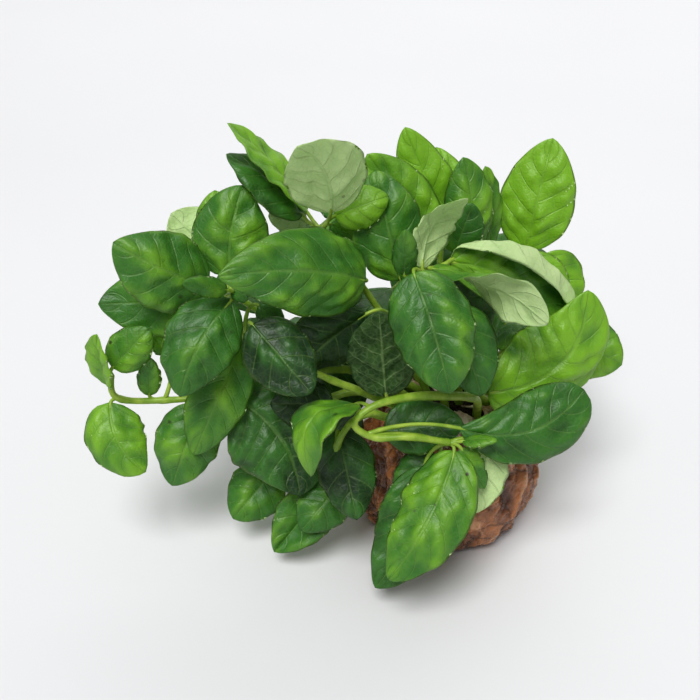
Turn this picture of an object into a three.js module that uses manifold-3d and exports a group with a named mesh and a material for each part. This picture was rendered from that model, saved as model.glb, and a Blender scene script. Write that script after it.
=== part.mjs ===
// A basil plant whose root ball is held in a crumpled brown film wrap.
// Millimetres, +Z up, origin at the centre of the wrap's flat foot, the front view looking along +Y.

import * as THREE from 'three';
import { mergeVertices } from 'three/addons/utils/BufferGeometryUtils.js';
import Module from 'manifold-3d';

const wasm = await Module();
wasm.setup();

// ---- Driving sizes of the wrap and the root ball ----

const WRAP_FOOT_RADIUS = 38;
const WRAP_HEEL_RADIUS = 45;
const WRAP_HEEL_HEIGHT = 7;
const WRAP_BELLY_RADIUS = 48;
const WRAP_BELLY_HEIGHT = 22;
const WRAP_SHOULDER_RADIUS = 44;
const WRAP_SHOULDER_HEIGHT = 44;
const WRAP_NECK_RADIUS = 32;
const WRAP_NECK_HEIGHT = 62;
const WRAP_RIM_RADIUS = 34;
const WRAP_RIM_HEIGHT = 71;
const WRAP_WALL = 1.2;
const WRAP_SECTORS = 36;
const WRAP_RING_HEIGHTS = [6, 18, 32, 46, 55];
const NECK_PLEATS = 11;
const NECK_PLEAT_DEPTH = 2.4;
const PLEAT_UNEVENNESS = 1.3;
const PLEATS_START = 30;
const CRUMPLE_DEPTH = 1.6;
const CRUMPLES_START = 2;
const CRUMPLES_FULL = 16;
const CRUMPLES_LOST_AT_NECK = 0.6;
// Each crumple: waves round the wrap, slant in radians for a mm of height, phase and share.
const CRUMPLES = [[7, 0.11, 0, 0.6], [4, -0.16, 2, 0.42], [3, 0.07, 0.8, 0.5]];
const FOLDLESS_RADIUS = 10;
const FOLDED_RADIUS = 28;
const TOUCH_GAP = 0.3;
const SOIL_TOP = 63;
const SOIL_MOUND = 2;
// The middle of the mound.
const SOIL_SURFACE = SOIL_TOP + SOIL_MOUND;
const MOUND_INSET = 8;
const FOOT_ROUNDING = 4;

// ---- Driving sizes of the stems and leaves ----

const STEM_FOOT_RADIUS = 2.4;
const STEM_RADIUS = 2.1;
const SHOOT_RADIUS = 1.6;
const PETIOLE_RADIUS = 0.95;
const STEM_SIDES = 5;
const HOLE_SIDES = 8;
const PETIOLE_SIDES = 4;
const STEM_SINK = 20;
const STEM_UPRIGHT = 3;
const STEM_FOOT_RISE = 1;
const SHOOT_START = 0.6;
const SHOOT_OVERLAP = 0.04;
const HOLE_CLEARANCE = 0.55;
const HOLE_RADIUS = STEM_FOOT_RADIUS + HOLE_CLEARANCE;
const BLADE_THICKNESS = 0.7;
// Longest blade, rows and columns of the grid that it is split into.
const BLADE_GRIDS = [[30, 4, 2], [50, 5, 2], [Infinity, 6, 4]];
const LEAF_CLEARANCE = 3.4;
const STEM_CLEARANCE = 4.2;
const WRAP_CLEARANCE = 3;
const FLOOR_CLEARANCE = 2;
const SLIDE_STEP = 3;
const SLIDE_TRIES = 26;
const BASE_SLIDE = 0.35;
const PAIR_REACH = 14;
const PAIR_FREE = 14;
const SINGLE_FREE = 5;
const PETIOLE_CLEARANCE = 2.4;
const PETIOLE_OVERLAP = 0.1;
const PETIOLE_APPROACH = 0.45;
const PETIOLE_STEP = 11;
const STEM_STEP = 12;
const STEM_SAMPLE_STEP = 3;
const PETIOLE_SAMPLE_STEP = 4;

// ---- The front view, which gives every seen point its place ----

const PICTURE_CENTRE = 350;
const VIEW_FOCAL = 961.6;
const VIEW_DISTANCE = 480;
const VIEW_ELEVATION = THREE.MathUtils.degToRad(35);
const VIEW_AIM = new THREE.Vector3(-51, 0, 101);
const VIEW_FORWARD = new THREE.Vector3(0, Math.cos(VIEW_ELEVATION), -Math.sin(VIEW_ELEVATION));
const VIEW_UP = new THREE.Vector3(0, Math.sin(VIEW_ELEVATION), Math.cos(VIEW_ELEVATION));
const VIEW_EYE = VIEW_AIM.clone().addScaledVector(VIEW_FORWARD, -VIEW_DISTANCE);

// The point that shows at a picture column and row and lies at a depth behind the wrap's axis.
function seen([column, row, depth]) {
  const ray = VIEW_FORWARD.clone();
  ray.x += (column - PICTURE_CENTRE) / VIEW_FOCAL;
  ray.addScaledVector(VIEW_UP, (PICTURE_CENTRE - row) / VIEW_FOCAL);
  return VIEW_EYE.clone().addScaledVector(ray, (depth - VIEW_EYE.y) / ray.y);
}

// The picture column and row where a point shows.
function shown(point) {
  const offset = point.clone().sub(VIEW_EYE);
  const scale = VIEW_FOCAL / offset.dot(VIEW_FORWARD);
  return [PICTURE_CENTRE + scale * offset.x, PICTURE_CENTRE - scale * offset.dot(VIEW_UP)];
}

// ---- Stems: where each stands in the soil, the picture points it passes, and its leaf nodes ----

const STEMS = {
  top_left: {
    foot: [-10, 4],
    way: [[405, 350, 3], [372, 300, 5], [345, 262, 8], [319, 228, 10]],
    nodes: [0.6, 0.8, 0.99],
  },
  left: {
    foot: [-16, -4],
    way: [[375, 375, -6], [320, 345, -8], [270, 318, -8], [229, 291, -7]],
    nodes: [0.55, 0.78, 0.99],
  },
  low_left: {
    foot: [-19, -11],
    way: [[372, 396, -14], [320, 375, -20], [275, 352, -20], [242, 333, -18]],
    nodes: [0.6, 0.99],
  },
  far_left: {
    foot: [-14, 9],
    way: [
      [370, 372, 6], [300, 372, -4], [230, 392, -16], [168, 400, -20], [116, 397, -25], [110, 372, -27],
    ],
    nodes: [0.6, 0.8, 0.9, 0.99],
  },
  low_front: {
    foot: [-20, 3],
    way: [[350, 392, -8], [316, 404, -11], [276, 412, -13], [242, 410, -13]],
    nodes: [0.6, 0.8, 0.99],
  },
  front: {
    foot: [-12, -15],
    way: [[390, 418, -26], [368, 414, -36], [350, 424, -42], [337, 446, -44], [335, 470, -42]],
    nodes: [0.55, 0.7, 0.84, 0.99],
  },
  loop: {
    foot: [14, -8],
    way: [
      [474, 398, -24], [448, 396, -34], [410, 397, -44], [372, 407, -52], [354, 424, -56],
      [372, 437, -57], [410, 437, -56], [452, 443, -52],
    ],
    nodes: [0.32, 0.8, 0.88, 0.99],
  },
  right_front: {
    foot: [-2, -4],
    way: [[430, 350, -10], [420, 305, -18], [421, 270, -22]],
    nodes: [0.7, 0.99],
  },
  right: {
    foot: [19, 1],
    way: [[478, 390, -4], [500, 360, 4], [530, 330, 14]],
    nodes: [0.5, 0.99],
  },
  curled: {
    foot: [6, 4],
    way: [[450, 340, -2], [450, 300, -4], [440, 266, -4]],
    nodes: [0.6, 0.99],
  },
  top_right: {
    foot: [12, 12],
    way: [[470, 340, 18], [485, 290, 30], [500, 252, 40]],
    nodes: [0.6, 0.8, 0.99],
  },
  top_middle: {
    foot: [2, 14],
    way: [[440, 330, 16], [440, 280, 22], [440, 245, 28]],
    nodes: [0.7, 0.99],
  },
};

// ---- Stems at the back, out of the front view: each leans from its foot to its top ----

const BACK_STEMS = {
  back_left: { foot: [-14, 20], top: [-90, 62, 118], bow: 14 },
  back_far_left: { foot: [-20, 13], top: [-126, 34, 92], bow: 20 },
  back_middle: { foot: [-5, 22], top: [-36, 78, 126], bow: 10 },
  back_right: { foot: [5, 22], top: [14, 78, 112], bow: 12 },
  back_far_right: { foot: [20, 10], top: [54, 50, 100], bow: 12 },
};
const BACK_NODES = [0.45, 0.72, 0.98];
const BACK_LEAF_LENGTH = [52, 46, 30];
const BACK_LEAF_SLENDERNESS = 0.64;
const BACK_PETIOLE = 13;
const BACK_SEED = 20;
const PAIR_TURN = 90;
const BACK_TWIST = 40;
const BACK_PITCH = 30;
const BACK_TRIES = 16;
const BACK_SPREAD = 20;
const BACK_SPREAD_STEP = 5;
const BACK_LENGTH_SHARES = [0.85, 1.15];
const BACK_PETIOLE_SHARES = [0.8, 1.4];
const BACK_ROLLS = [-15, 15];
const BACK_ARCHES = [0.08, 0.16];
const BACK_CUPS = [-0.5, 0];
const HIGH_ABOVE = new THREE.Vector3(0, 0, 1000);

// ---- Leaves: base and tip as [column, row, depth], widths in mm, roll in degrees ----
// roll 0 turns the upper face to the front view and 180 the underside. arch lifts the midrib and
// sweep bends it to the right-hand side, as shares of the leaf's length. cup bends both margins
// up (or down, below 0) and fold creases the blade at the midrib, in radians. twist turns the
// blade along its length, in degrees. widest is the share of the length where it is widest. curl
// rolls the far half's margin up and over, in radians, and nearShare narrows the near half. from
// is the share of the stem's length where the petiole starts, if that isn't at a leaf node.

const LEAVES = {
  top_left: [
    { name: 'a4', base: [331, 213, 6], tip: [297, 146, -20], width: 38, roll: 172, cup: 0.5, sweep: -0.1 },
    { name: 'a5', base: [334, 216, 6], tip: [389, 196, -4], width: 24, cup: -0.4, arch: 0.15 },
    { name: 'a1', base: [307, 212, 8], tip: [227, 123, 4], width: 28, roll: 68, fold: 0.2, arch: 0.05 },
    { name: 'a2', base: [303, 216, 16], tip: [226, 154, 14], width: 28, roll: 48, cup: -0.3, arch: 0.1 },
    { name: 'a6', base: [330, 224, 18], tip: [362, 240, 26], width: 16, cup: 0.3 },
    { name: 'a7', base: [308, 222, 20], tip: [268, 216, 32], width: 18, roll: 160, cup: 0.3 },
    { name: 'b', base: [366, 281, -8], tip: [217, 277, -38], width: 45,
      cup: -0.6, arch: 0.1, sweep: 0.05, widest: 0.34 },
    { name: 'i2', base: [366, 314, -16], tip: [290, 366, -12], width: 37, roll: -30, cup: -0.2, from: 0.5 },
  ],
  left: [
    { name: 'd1', base: [232, 300, -18], tip: [180, 397, -48], width: 38,
      cup: -0.6, arch: 0.14, sweep: 0.07 },
    { name: 'c1', base: [229, 277, -2], tip: [243, 185, 14], width: 39,
      cup: -0.4, arch: 0.08, sweep: -0.05 },
    { name: 'c6', base: [228, 290, -22], tip: [182, 283, -36], width: 11, cup: -0.3 },
    { name: 'c4', base: [209, 285, -10], tip: [113, 242, -22], width: 39,
      cup: -0.4, arch: 0.1, sweep: -0.05 },
    { name: 'c7', base: [231, 291, -16], tip: [248, 300, -24], width: 8, cup: -0.3 },
    { name: 'c5', base: [214, 300, -2], tip: [98, 304, -12], width: 36, cup: -0.35, arch: 0.08 },
    { name: 'c2', base: [222, 264, 8], tip: [215, 190, 22], width: 26, cup: -0.3 },
    { name: 'c3', base: [214, 252, 18], tip: [171, 213, 28], width: 30, roll: 180, cup: 0.4 },
  ],
  low_left: [
    { name: 'd2', base: [240, 346, -18], tip: [194, 455, -40], width: 31, cup: -0.35, arch: 0.08 },
    { name: 'd4', base: [200, 404, -22], tip: [172, 486, -34], width: 34, cup: -0.4, arch: 0.1, from: 0.9 },
    { name: 'i4', base: [258, 305, -16], tip: [284, 326, -20], width: 13, cup: -0.3 },
    { name: 'i3', base: [252, 324, -22], tip: [312, 394, -32], width: 33, cup: -0.3, from: 0.9 },
  ],
  far_left: [
    { name: 'i5', base: [368, 388, 14], tip: [288, 390, 22], width: 36, roll: -20, cup: -0.3, from: 0.35 },
    { name: 'd3a', base: [112, 368, -26], tip: [150, 328, -18], width: 22, cup: -0.3 },
    { name: 'd3b', base: [108, 386, -28], tip: [97, 334, -30], width: 20, roll: -60, fold: 0.3 },
    { name: 'd3c', base: [149, 396, -22], tip: [150, 357, -28], width: 11, cup: 0.3 },
    { name: 'd6', base: [166, 354, -14], tip: [151, 333, -12], width: 8, cup: 0.4, fold: 0.4 },
    { name: 'd3d', base: [110, 402, -28], tip: [146, 472, -46], width: 33,
      cup: -0.6, sweep: 0.14, arch: 0.1 },
  ],
  low_front: [
    { name: 'e1', base: [236, 399, -24], tip: [300, 496, -50], width: 54, cup: -0.4, sweep: -0.13 },
    { name: 'e2', base: [274, 470, -22], tip: [233, 519, -38], width: 32, cup: -0.3 },
    { name: 'i6', base: [334, 404, -19], tip: [270, 404, -22], width: 26, cup: -0.3, from: 0.6 },
  ],
  front: [
    { name: 'e6', base: [357, 404, -42], tip: [311, 477, -66], width: 32, roll: 50, arch: 0.42, cup: 0.2 },
    { name: 'e5', base: [338, 430, -36], tip: [357, 520, -56], width: 30, cup: -0.3, arch: 0.06 },
    { name: 'e7', base: [352, 406, -24], tip: [322, 452, -22], width: 26, cup: -0.3 },
    { name: 'e4', base: [342, 482, -40], tip: [301, 531, -60], width: 28, cup: -0.3, arch: 0.05 },
    { name: 'e3', base: [326, 490, -38], tip: [274, 552, -66], width: 30, fold: 0.5, widest: 0.36 },
  ],
  loop: [
    { name: 'f1', base: [455, 450, -54], tip: [388, 580, -90], width: 38,
      roll: 12, cup: -0.5, arch: 0.1, sweep: -0.08 },
    { name: 'f2', base: [424, 466, -50], tip: [375, 588, -78], width: 36, cup: -0.3, sweep: -0.08 },
    { name: 'f3', base: [438, 456, -48], tip: [395, 497, -56], width: 24, cup: -0.3, from: 0.76 },
    { name: 'f5', base: [459, 428, -50], tip: [584, 389, -32], width: 36,
      roll: 10, cup: -0.3, sweep: 0.17, widest: 0.62, from: 0.76 },
    { name: 'f4', base: [384, 428, -40], tip: [464, 424, -38], width: 28, cup: -0.3 },
    { name: 'f6', base: [461, 448, -54], tip: [485, 489, -60], width: 14, cup: -0.3 },
    { name: 'f8', base: [462, 441, -52], tip: [498, 441, -56], width: 10, roll: -50, arch: 0.08 },
    { name: 'f7', base: [490, 444, -48], tip: [473, 514, -60], width: 24, roll: 170, cup: 0.3 },
  ],
  right_front: [
    { name: 'h1', base: [413, 272, -28], tip: [450, 394, -58], width: 41,
      cup: -0.5, arch: 0.1, sweep: -0.02 },
    { name: 'h16', base: [404, 276, -20], tip: [406, 229, -24], width: 13, cup: -0.3 },
    { name: 'i1', base: [386, 397, -26], tip: [379, 311, -40], width: 33, roll: 180, cup: 0.3 },
    { name: 'h2', base: [452, 305, -20], tip: [482, 396, -40], width: 32, cup: -0.3 },
  ],
  right: [
    { name: 'g1', base: [487, 393, -22], tip: [588, 290, 2], width: 53, roll: 25, cup: -0.7, sweep: 0.23 },
    { name: 'h3', base: [566, 336, 14], tip: [622, 365, 10], width: 34, cup: -0.2 },
    { name: 'h4', base: [540, 256, 30], tip: [576, 306, 26], width: 30, cup: -0.2 },
  ],
  curled: [
    { name: 'h6', base: [432, 269, -18], tip: [548, 325, -46], width: 30,
      roll: -118, twist: -120, arch: 0.1 },
    { name: 'h5', base: [449, 262, -4], tip: [561, 340, -12], width: 58,
      roll: 0, sweep: -0.14, cup: 0.4, curl: 2.6, nearShare: 0.5 },
    { name: 'h19', base: [446, 285, 6], tip: [485, 337, 2], width: 31, cup: 0.3 },
    { name: 'h7', base: [522, 256, 14], tip: [566, 305, 6], width: 24, arch: 0.1 },
    { name: 'h17', base: [421, 269, -8], tip: [468, 198, -2], width: 26, roll: -125, arch: 0.2 },
    { name: 'h18', base: [454, 254, 10], tip: [473, 203, 12], width: 22, cup: -0.3 },
  ],
  top_middle: [
    { name: 'h15', base: [400, 281, 2], tip: [375, 170, 16], width: 38, cup: -0.45, arch: 0.1 },
    { name: 'h13', base: [430, 240, 24], tip: [367, 154, 30], width: 34, cup: -0.3 },
    { name: 'h10', base: [450, 215, 40], tip: [405, 127, 48], width: 26, cup: -0.3, sweep: -0.04 },
    { name: 'h11', base: [462, 232, 34], tip: [436, 147, 40], width: 26, roll: -20, cup: -0.3 },
  ],
  top_right: [
    { name: 'h12', base: [468, 250, 22], tip: [463, 157, 36], width: 28, roll: 20, cup: -0.4, sweep: 0.05 },
    { name: 'h9', base: [488, 248, 34], tip: [485, 166, 38], width: 20, roll: 40, cup: -0.3, sweep: 0.05 },
    { name: 'h8', base: [525, 250, 46], tip: [553, 138, 60], width: 39, cup: -0.15, arch: 0.05 },
  ],
};
// Picture columns, rows and radii where the front view looks past the plant.
const OPEN_SIGHTS = [[371, 262, 17], [352, 232, 10], [602, 412, 16], [604, 290, 16]];
const LEAF_DEFAULTS = {
  roll: 0, arch: 0.04, sweep: 0, cup: 0, fold: 0, twist: 0, widest: 0.42, curl: 0, nearShare: 1,
};

// ---- Blade surface ----

const OUTLINE_POINTEDNESS = 1.25;
// The handles of a curve that is lifted at its middle by 1.
const HANDLE_LIFT = 4 / 3;
const CURVE_END_INSET = 0.001;
const NO_BEND = 1e-6;
const CURL_START = 0.5;
const CURL_LENGTH = 7;
const CURLED_COLUMNS = 12;

// Half the blade's width at a share of its length, as a share of the widest half.
function outline(along, widest) {
  const fromBase = (along / widest) ** (OUTLINE_POINTEDNESS * widest);
  const fromTip = ((1 - along) / (1 - widest)) ** (OUTLINE_POINTEDNESS * (1 - widest));
  return fromBase * fromTip;
}

// The leaf's midrib curve and the directions that its blade is laid out by. At roll 0 the upper
// face looks towards the point given.
function layOut(leaf, base, tip, towards) {
  const chord = tip.clone().sub(base);
  const length = chord.length();
  const direction = chord.clone().divideScalar(length);
  const look = towards.clone().sub(base.clone().add(tip).multiplyScalar(0.5));
  const facing = look.addScaledVector(direction, -look.dot(direction)).normalize();
  const side = direction.clone().cross(facing);
  const roll = THREE.MathUtils.degToRad(leaf.roll);
  const face = facing.clone().multiplyScalar(Math.cos(roll)).addScaledVector(side, Math.sin(roll));
  const across = direction.clone().cross(face);
  const lift = (share, arch) => base.clone().addScaledVector(chord, share)
    .addScaledVector(face, HANDLE_LIFT * arch * length)
    .addScaledVector(across, HANDLE_LIFT * leaf.sweep * length);
  const midrib = new THREE.CubicBezierCurve3(
    base, lift(1 / 3, leaf.arch), lift(2 / 3, leaf.arch), tip,
  );
  return { ...leaf, base, tip, length, across, midrib };
}

// Where a strip that starts at a slope and bends evenly gets to over its length.
function arcStep(length, slope, bend) {
  const end = slope + bend * length;
  if (Math.abs(bend) < NO_BEND) {
    return { out: length * Math.cos(slope), rise: length * Math.sin(slope), slope };
  }
  return {
    out: (Math.sin(end) - Math.sin(slope)) / bend,
    rise: (Math.cos(slope) - Math.cos(end)) / bend,
    slope: end,
  };
}

// A point of the blade and its upward normal; along runs 0 to 1 to the tip, over -1 to 1 across.
function bladePoint(leaf, along, over) {
  const centre = leaf.midrib.getPoint(along);
  const inside = THREE.MathUtils.clamp(along, CURVE_END_INSET, 1 - CURVE_END_INSET);
  const tangent = leaf.midrib.getTangent(inside);
  const across = leaf.across.clone().addScaledVector(tangent, -leaf.across.dot(tangent)).normalize();
  across.applyAxisAngle(tangent, THREE.MathUtils.degToRad(leaf.twist) * (along - 0.5));
  const up = across.clone().cross(tangent);
  const half = leaf.width / 2;
  const edge = outline(along, leaf.widest) * half * (over > 0 ? leaf.nearShare : 1);
  const reach = Math.abs(over) * edge;
  const beyond = over < 0 && leaf.curl ? Math.max(reach - CURL_START * edge, 0) : 0;
  const rolled = Math.min(beyond, CURL_LENGTH);
  const inner = arcStep(reach - beyond, leaf.fold, leaf.cup / half);
  const roll = arcStep(rolled, inner.slope, leaf.curl / CURL_LENGTH);
  const flap = arcStep(beyond - rolled, roll.slope, 0);
  const hand = Math.sign(over);
  const point = centre.clone().addScaledVector(across, hand * (inner.out + roll.out + flap.out));
  point.addScaledVector(up, inner.rise + roll.rise + flap.rise);
  const normal = up.multiplyScalar(Math.cos(flap.slope));
  normal.addScaledVector(across, -hand * Math.sin(flap.slope));
  return { point, normal };
}

// ---- Stems ----

// Each stem stands upright in the soil and then follows its way.
function stemCurve([x, y], way) {
  const upright = [SOIL_TOP - STEM_SINK, SOIL_SURFACE, SOIL_SURFACE + STEM_UPRIGHT];
  return new THREE.CatmullRomCurve3([...upright.map((z) => new THREE.Vector3(x, y, z)), ...way]);
}

function withSamples(stem) {
  const count = Math.ceil(stem.curve.getLength() / STEM_SAMPLE_STEP);
  return { ...stem, samples: stem.curve.getSpacedPoints(count) };
}

function seenStem({ foot, way, nodes }) {
  return withSamples({ foot, nodes, curve: stemCurve(foot, way.map(seen)) });
}

function backStem({ foot, top, bow }) {
  const [x, y, z] = top;
  const middle = new THREE.Vector3((foot[0] + x) / 2, (foot[1] + y) / 2, (SOIL_TOP + z) / 2 + bow);
  const curve = stemCurve(foot, [middle, new THREE.Vector3(x, y, z)]);
  return withSamples({ foot, curve, outward: Math.atan2(y, x) });
}

function makeStems() {
  const seenStems = Object.entries(STEMS).map(([name, stem]) => [name, seenStem(stem)]);
  const backStems = Object.entries(BACK_STEMS).map(([name, stem]) => [name, backStem(stem)]);
  return Object.fromEntries([...seenStems, ...backStems]);
}

// ---- Placing the leaves clear of each other ----

const SAMPLE_ROWS = 12;
const SAMPLE_COLUMNS = 8;
const SAMPLE_FIRST = 0.12;
const SAMPLE_LAST = 0.995;

function bladeSamples(leaf) {
  const samples = [];
  for (let row = 0; row <= SAMPLE_ROWS; row += 1) {
    const along = THREE.MathUtils.lerp(SAMPLE_FIRST, SAMPLE_LAST, row / SAMPLE_ROWS);
    for (let column = 0; column <= SAMPLE_COLUMNS; column += 1) {
      samples.push(bladePoint(leaf, along, (2 * column) / SAMPLE_COLUMNS - 1).point);
    }
  }
  return samples;
}

// Points along a petiole, which runs from its stem's nearest node to the blade's base.
function petioleSamples(petiole) {
  return petiole.getPoints(Math.ceil(petiole.getLength() / PETIOLE_SAMPLE_STEP)).slice(1);
}

// The petiole of a blade: it leaves the stem and runs on under the first stretch of the midrib.
function petioleCurve(blade, joint) {
  const tangent = blade.midrib.getTangent(CURVE_END_INSET);
  const reach = joint.distanceTo(blade.base);
  const approach = blade.base.clone().addScaledVector(tangent, -PETIOLE_APPROACH * reach);
  return new THREE.CubicBezierCurve3(joint, approach, blade.base, blade.midrib.getPoint(PETIOLE_OVERLAP));
}

function nearestJoint(curve, nodes, point) {
  const joints = nodes.map((share) => curve.getPointAt(share));
  return joints.reduce((best, joint) => (
    joint.distanceTo(point) < best.distanceTo(point) ? joint : best
  ));
}

function leastDistance(samples, others) {
  let least = Infinity;
  for (const sample of samples) {
    for (const other of others) {
      least = Math.min(least, sample.distanceToSquared(other));
    }
  }
  return Math.sqrt(least);
}

function farFrom(samples, centre, distance) {
  return samples.filter((sample) => sample.distanceTo(centre) > distance);
}

// How far the blade is from what is already placed, beyond the clearance that each thing asks.
function room(blade, placed, stems) {
  const ball = new THREE.Sphere().setFromPoints(blade.samples);
  let least = Infinity;
  for (const other of placed) {
    const apart = ball.center.distanceTo(other.ball.center) - ball.radius - other.ball.radius;
    if (apart > LEAF_CLEARANCE) {
      continue;
    }
    const near = other.base.distanceTo(blade.base) < PAIR_REACH ? PAIR_FREE : SINGLE_FREE;
    const mine = farFrom(blade.samples, blade.base, near);
    const theirs = farFrom(other.samples, other.base, near);
    least = Math.min(least, leastDistance(mine, theirs) - LEAF_CLEARANCE);
    if (other.stem !== blade.stem) {
      least = Math.min(least, leastDistance(mine, other.petioleSamples) - LEAF_CLEARANCE);
      least = Math.min(least, leastDistance(blade.petioleSamples, theirs) - LEAF_CLEARANCE);
      const apartPetioles = leastDistance(blade.petioleSamples, other.petioleSamples);
      least = Math.min(least, apartPetioles - PETIOLE_CLEARANCE);
    }
  }
  for (const [name, stem] of Object.entries(stems)) {
    const free = name === blade.stem ? PAIR_FREE : 0;
    const mine = farFrom(blade.samples, blade.base, free);
    least = Math.min(least, leastDistance(mine, stem.samples) - STEM_CLEARANCE);
    if (name !== blade.stem) {
      least = Math.min(least, leastDistance(blade.petioleSamples, stem.samples) - STEM_CLEARANCE);
    }
  }
  for (const { x, y, z } of blade.samples) {
    least = Math.min(least, z - FLOOR_CLEARANCE);
    if (z < WRAP_RIM_HEIGHT + WRAP_CLEARANCE) {
      least = Math.min(least, Math.hypot(x, y) - wrapRadius(z) - WRAP_CLEARANCE);
    }
  }
  return least;
}

function slid([column, row, depth], slide) {
  return [column, row, depth + slide];
}

// A leaf set between two points, with its petiole and the points that it is kept clear by.
function setLeaf(leaf, base, tip, towards, joint) {
  const blade = layOut({ ...LEAF_DEFAULTS, ...leaf }, base, tip, towards);
  blade.petiole = petioleCurve(blade, joint);
  blade.samples = bladeSamples(blade);
  blade.petioleSamples = petioleSamples(blade.petiole);
  blade.ball = new THREE.Sphere().setFromPoints(blade.samples);
  return blade;
}

// Each leaf keeps its place in the front view and slides along its sight lines, a step at a time
// to the front and the back of where it is set down, until it is clear of those before it.
function placeSeenLeaves(leaves, stems) {
  const placed = [];
  for (const leaf of leaves) {
    let best = null;
    for (let attempt = 0; attempt <= SLIDE_TRIES && !(best?.room > 0); attempt += 1) {
      const slide = SLIDE_STEP * Math.ceil(attempt / 2) * (attempt % 2 ? 1 : -1);
      const base = seen(slid(leaf.base, slide * BASE_SLIDE));
      const tip = seen(slid(leaf.tip, slide));
      const { curve, nodes } = stems[leaf.stem];
      const joint = leaf.from ? curve.getPointAt(leaf.from) : nearestJoint(curve, nodes, base);
      const blade = setLeaf(leaf, base, tip, VIEW_EYE, joint);
      blade.room = room(blade, placed, stems);
      blade.slide = slide;
      best = best === null || blade.room > best.room ? blade : best;
    }
    placed.push(best);
  }
  return placed;
}

// A repeatable stream of numbers from 0 to 1.
const DRAW_FACTOR = 1664525;
const DRAW_STEP = 1013904223;
const DRAW_RANGE = 2 ** 32;

function drawer(seed) {
  let state = seed;
  return () => {
    state = (state * DRAW_FACTOR + DRAW_STEP) % DRAW_RANGE;
    return state / DRAW_RANGE;
  };
}

function between(draw, [low, high]) {
  return low + (high - low) * draw();
}

function inOpenSight(blade) {
  return blade.samples.some((sample) => OPEN_SIGHTS.some(([column, row, radius]) => (
    Math.hypot(shown(sample)[0] - column, shown(sample)[1] - row) < radius
  )));
}

// A leaf of a stem at the back, drawn round the way that its node points it.
function drawBackLeaf(draw, name, stem, level, turn, attempt) {
  const joint = stem.curve.getPointAt(BACK_NODES[level]);
  const spread = BACK_SPREAD + BACK_SPREAD_STEP * attempt;
  const turned = turn + BACK_TWIST + between(draw, [-spread, spread]);
  const azimuth = THREE.MathUtils.degToRad(turned) + stem.outward;
  const pitch = THREE.MathUtils.degToRad(BACK_PITCH - between(draw, [0, spread]));
  const length = BACK_LEAF_LENGTH[level] * between(draw, BACK_LENGTH_SHARES);
  const way = new THREE.Vector3(
    Math.cos(azimuth) * Math.cos(pitch), Math.sin(azimuth) * Math.cos(pitch), Math.sin(pitch),
  );
  const base = joint.clone().addScaledVector(way, BACK_PETIOLE * between(draw, BACK_PETIOLE_SHARES));
  const tip = base.clone().addScaledVector(way, length);
  const leaf = {
    name: `${name}_${level}_${turn}`,
    stem: name,
    width: length * BACK_LEAF_SLENDERNESS,
    roll: between(draw, BACK_ROLLS),
    arch: between(draw, BACK_ARCHES),
    cup: between(draw, BACK_CUPS),
  };
  return setLeaf(leaf, base, tip, base.clone().add(HIGH_ABOVE), joint);
}

// The stems at the back carry a pair of leaves at each node, each pair turned from the last. Each
// leaf is drawn again until it is clear of those before it, and left out where there is no room.
function growBackLeaves(placed, stems) {
  const draw = drawer(BACK_SEED);
  for (const name of Object.keys(BACK_STEMS)) {
    for (let level = 0; level < BACK_NODES.length; level += 1) {
      for (const turn of [PAIR_TURN * level, PAIR_TURN * level + 180]) {
        let best = null;
        for (let attempt = 0; attempt < BACK_TRIES && !(best?.room > 0); attempt += 1) {
          const blade = drawBackLeaf(draw, name, stems[name], level, turn, attempt);
          blade.room = inOpenSight(blade) ? -Infinity : room(blade, placed, stems);
          best = best === null || blade.room > best.room ? blade : best;
        }
        if (best.room > 0) {
          placed.push(best);
        }
      }
    }
  }
}

// ---- Solids ----

const WELD_DISTANCE = 1e-4;

// Joins the vertices of a closed mesh, so that it can be joined to and cut by others.
function solidOf(geometry) {
  const bare = new THREE.BufferGeometry();
  bare.setAttribute('position', geometry.getAttribute('position'));
  bare.setIndex(geometry.getIndex());
  const merged = mergeVertices(bare, WELD_DISTANCE);
  return new wasm.Manifold(new wasm.Mesh({
    numProp: 3,
    vertProperties: new Float32Array(merged.getAttribute('position').array),
    triVerts: new Uint32Array(merged.getIndex().array),
  }));
}

function geometryOf(solid) {
  const { vertProperties, triVerts } = solid.getMesh();
  const geometry = new THREE.BufferGeometry();
  geometry.setAttribute('position', new THREE.BufferAttribute(vertProperties, 3));
  geometry.setIndex(new THREE.BufferAttribute(triVerts, 1));
  geometry.computeVertexNormals();
  return geometry;
}

// A round rod of a few sides along a curve.
function rod(curve, radius, sides, steps) {
  const corners = [];
  for (let corner = 0; corner < sides; corner += 1) {
    const angle = (2 * Math.PI * corner) / sides;
    corners.push(new THREE.Vector2(radius * Math.cos(angle), radius * Math.sin(angle)));
  }
  return solidOf(new THREE.ExtrudeGeometry(new THREE.Shape(corners), { steps, extrudePath: curve }));
}

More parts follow.
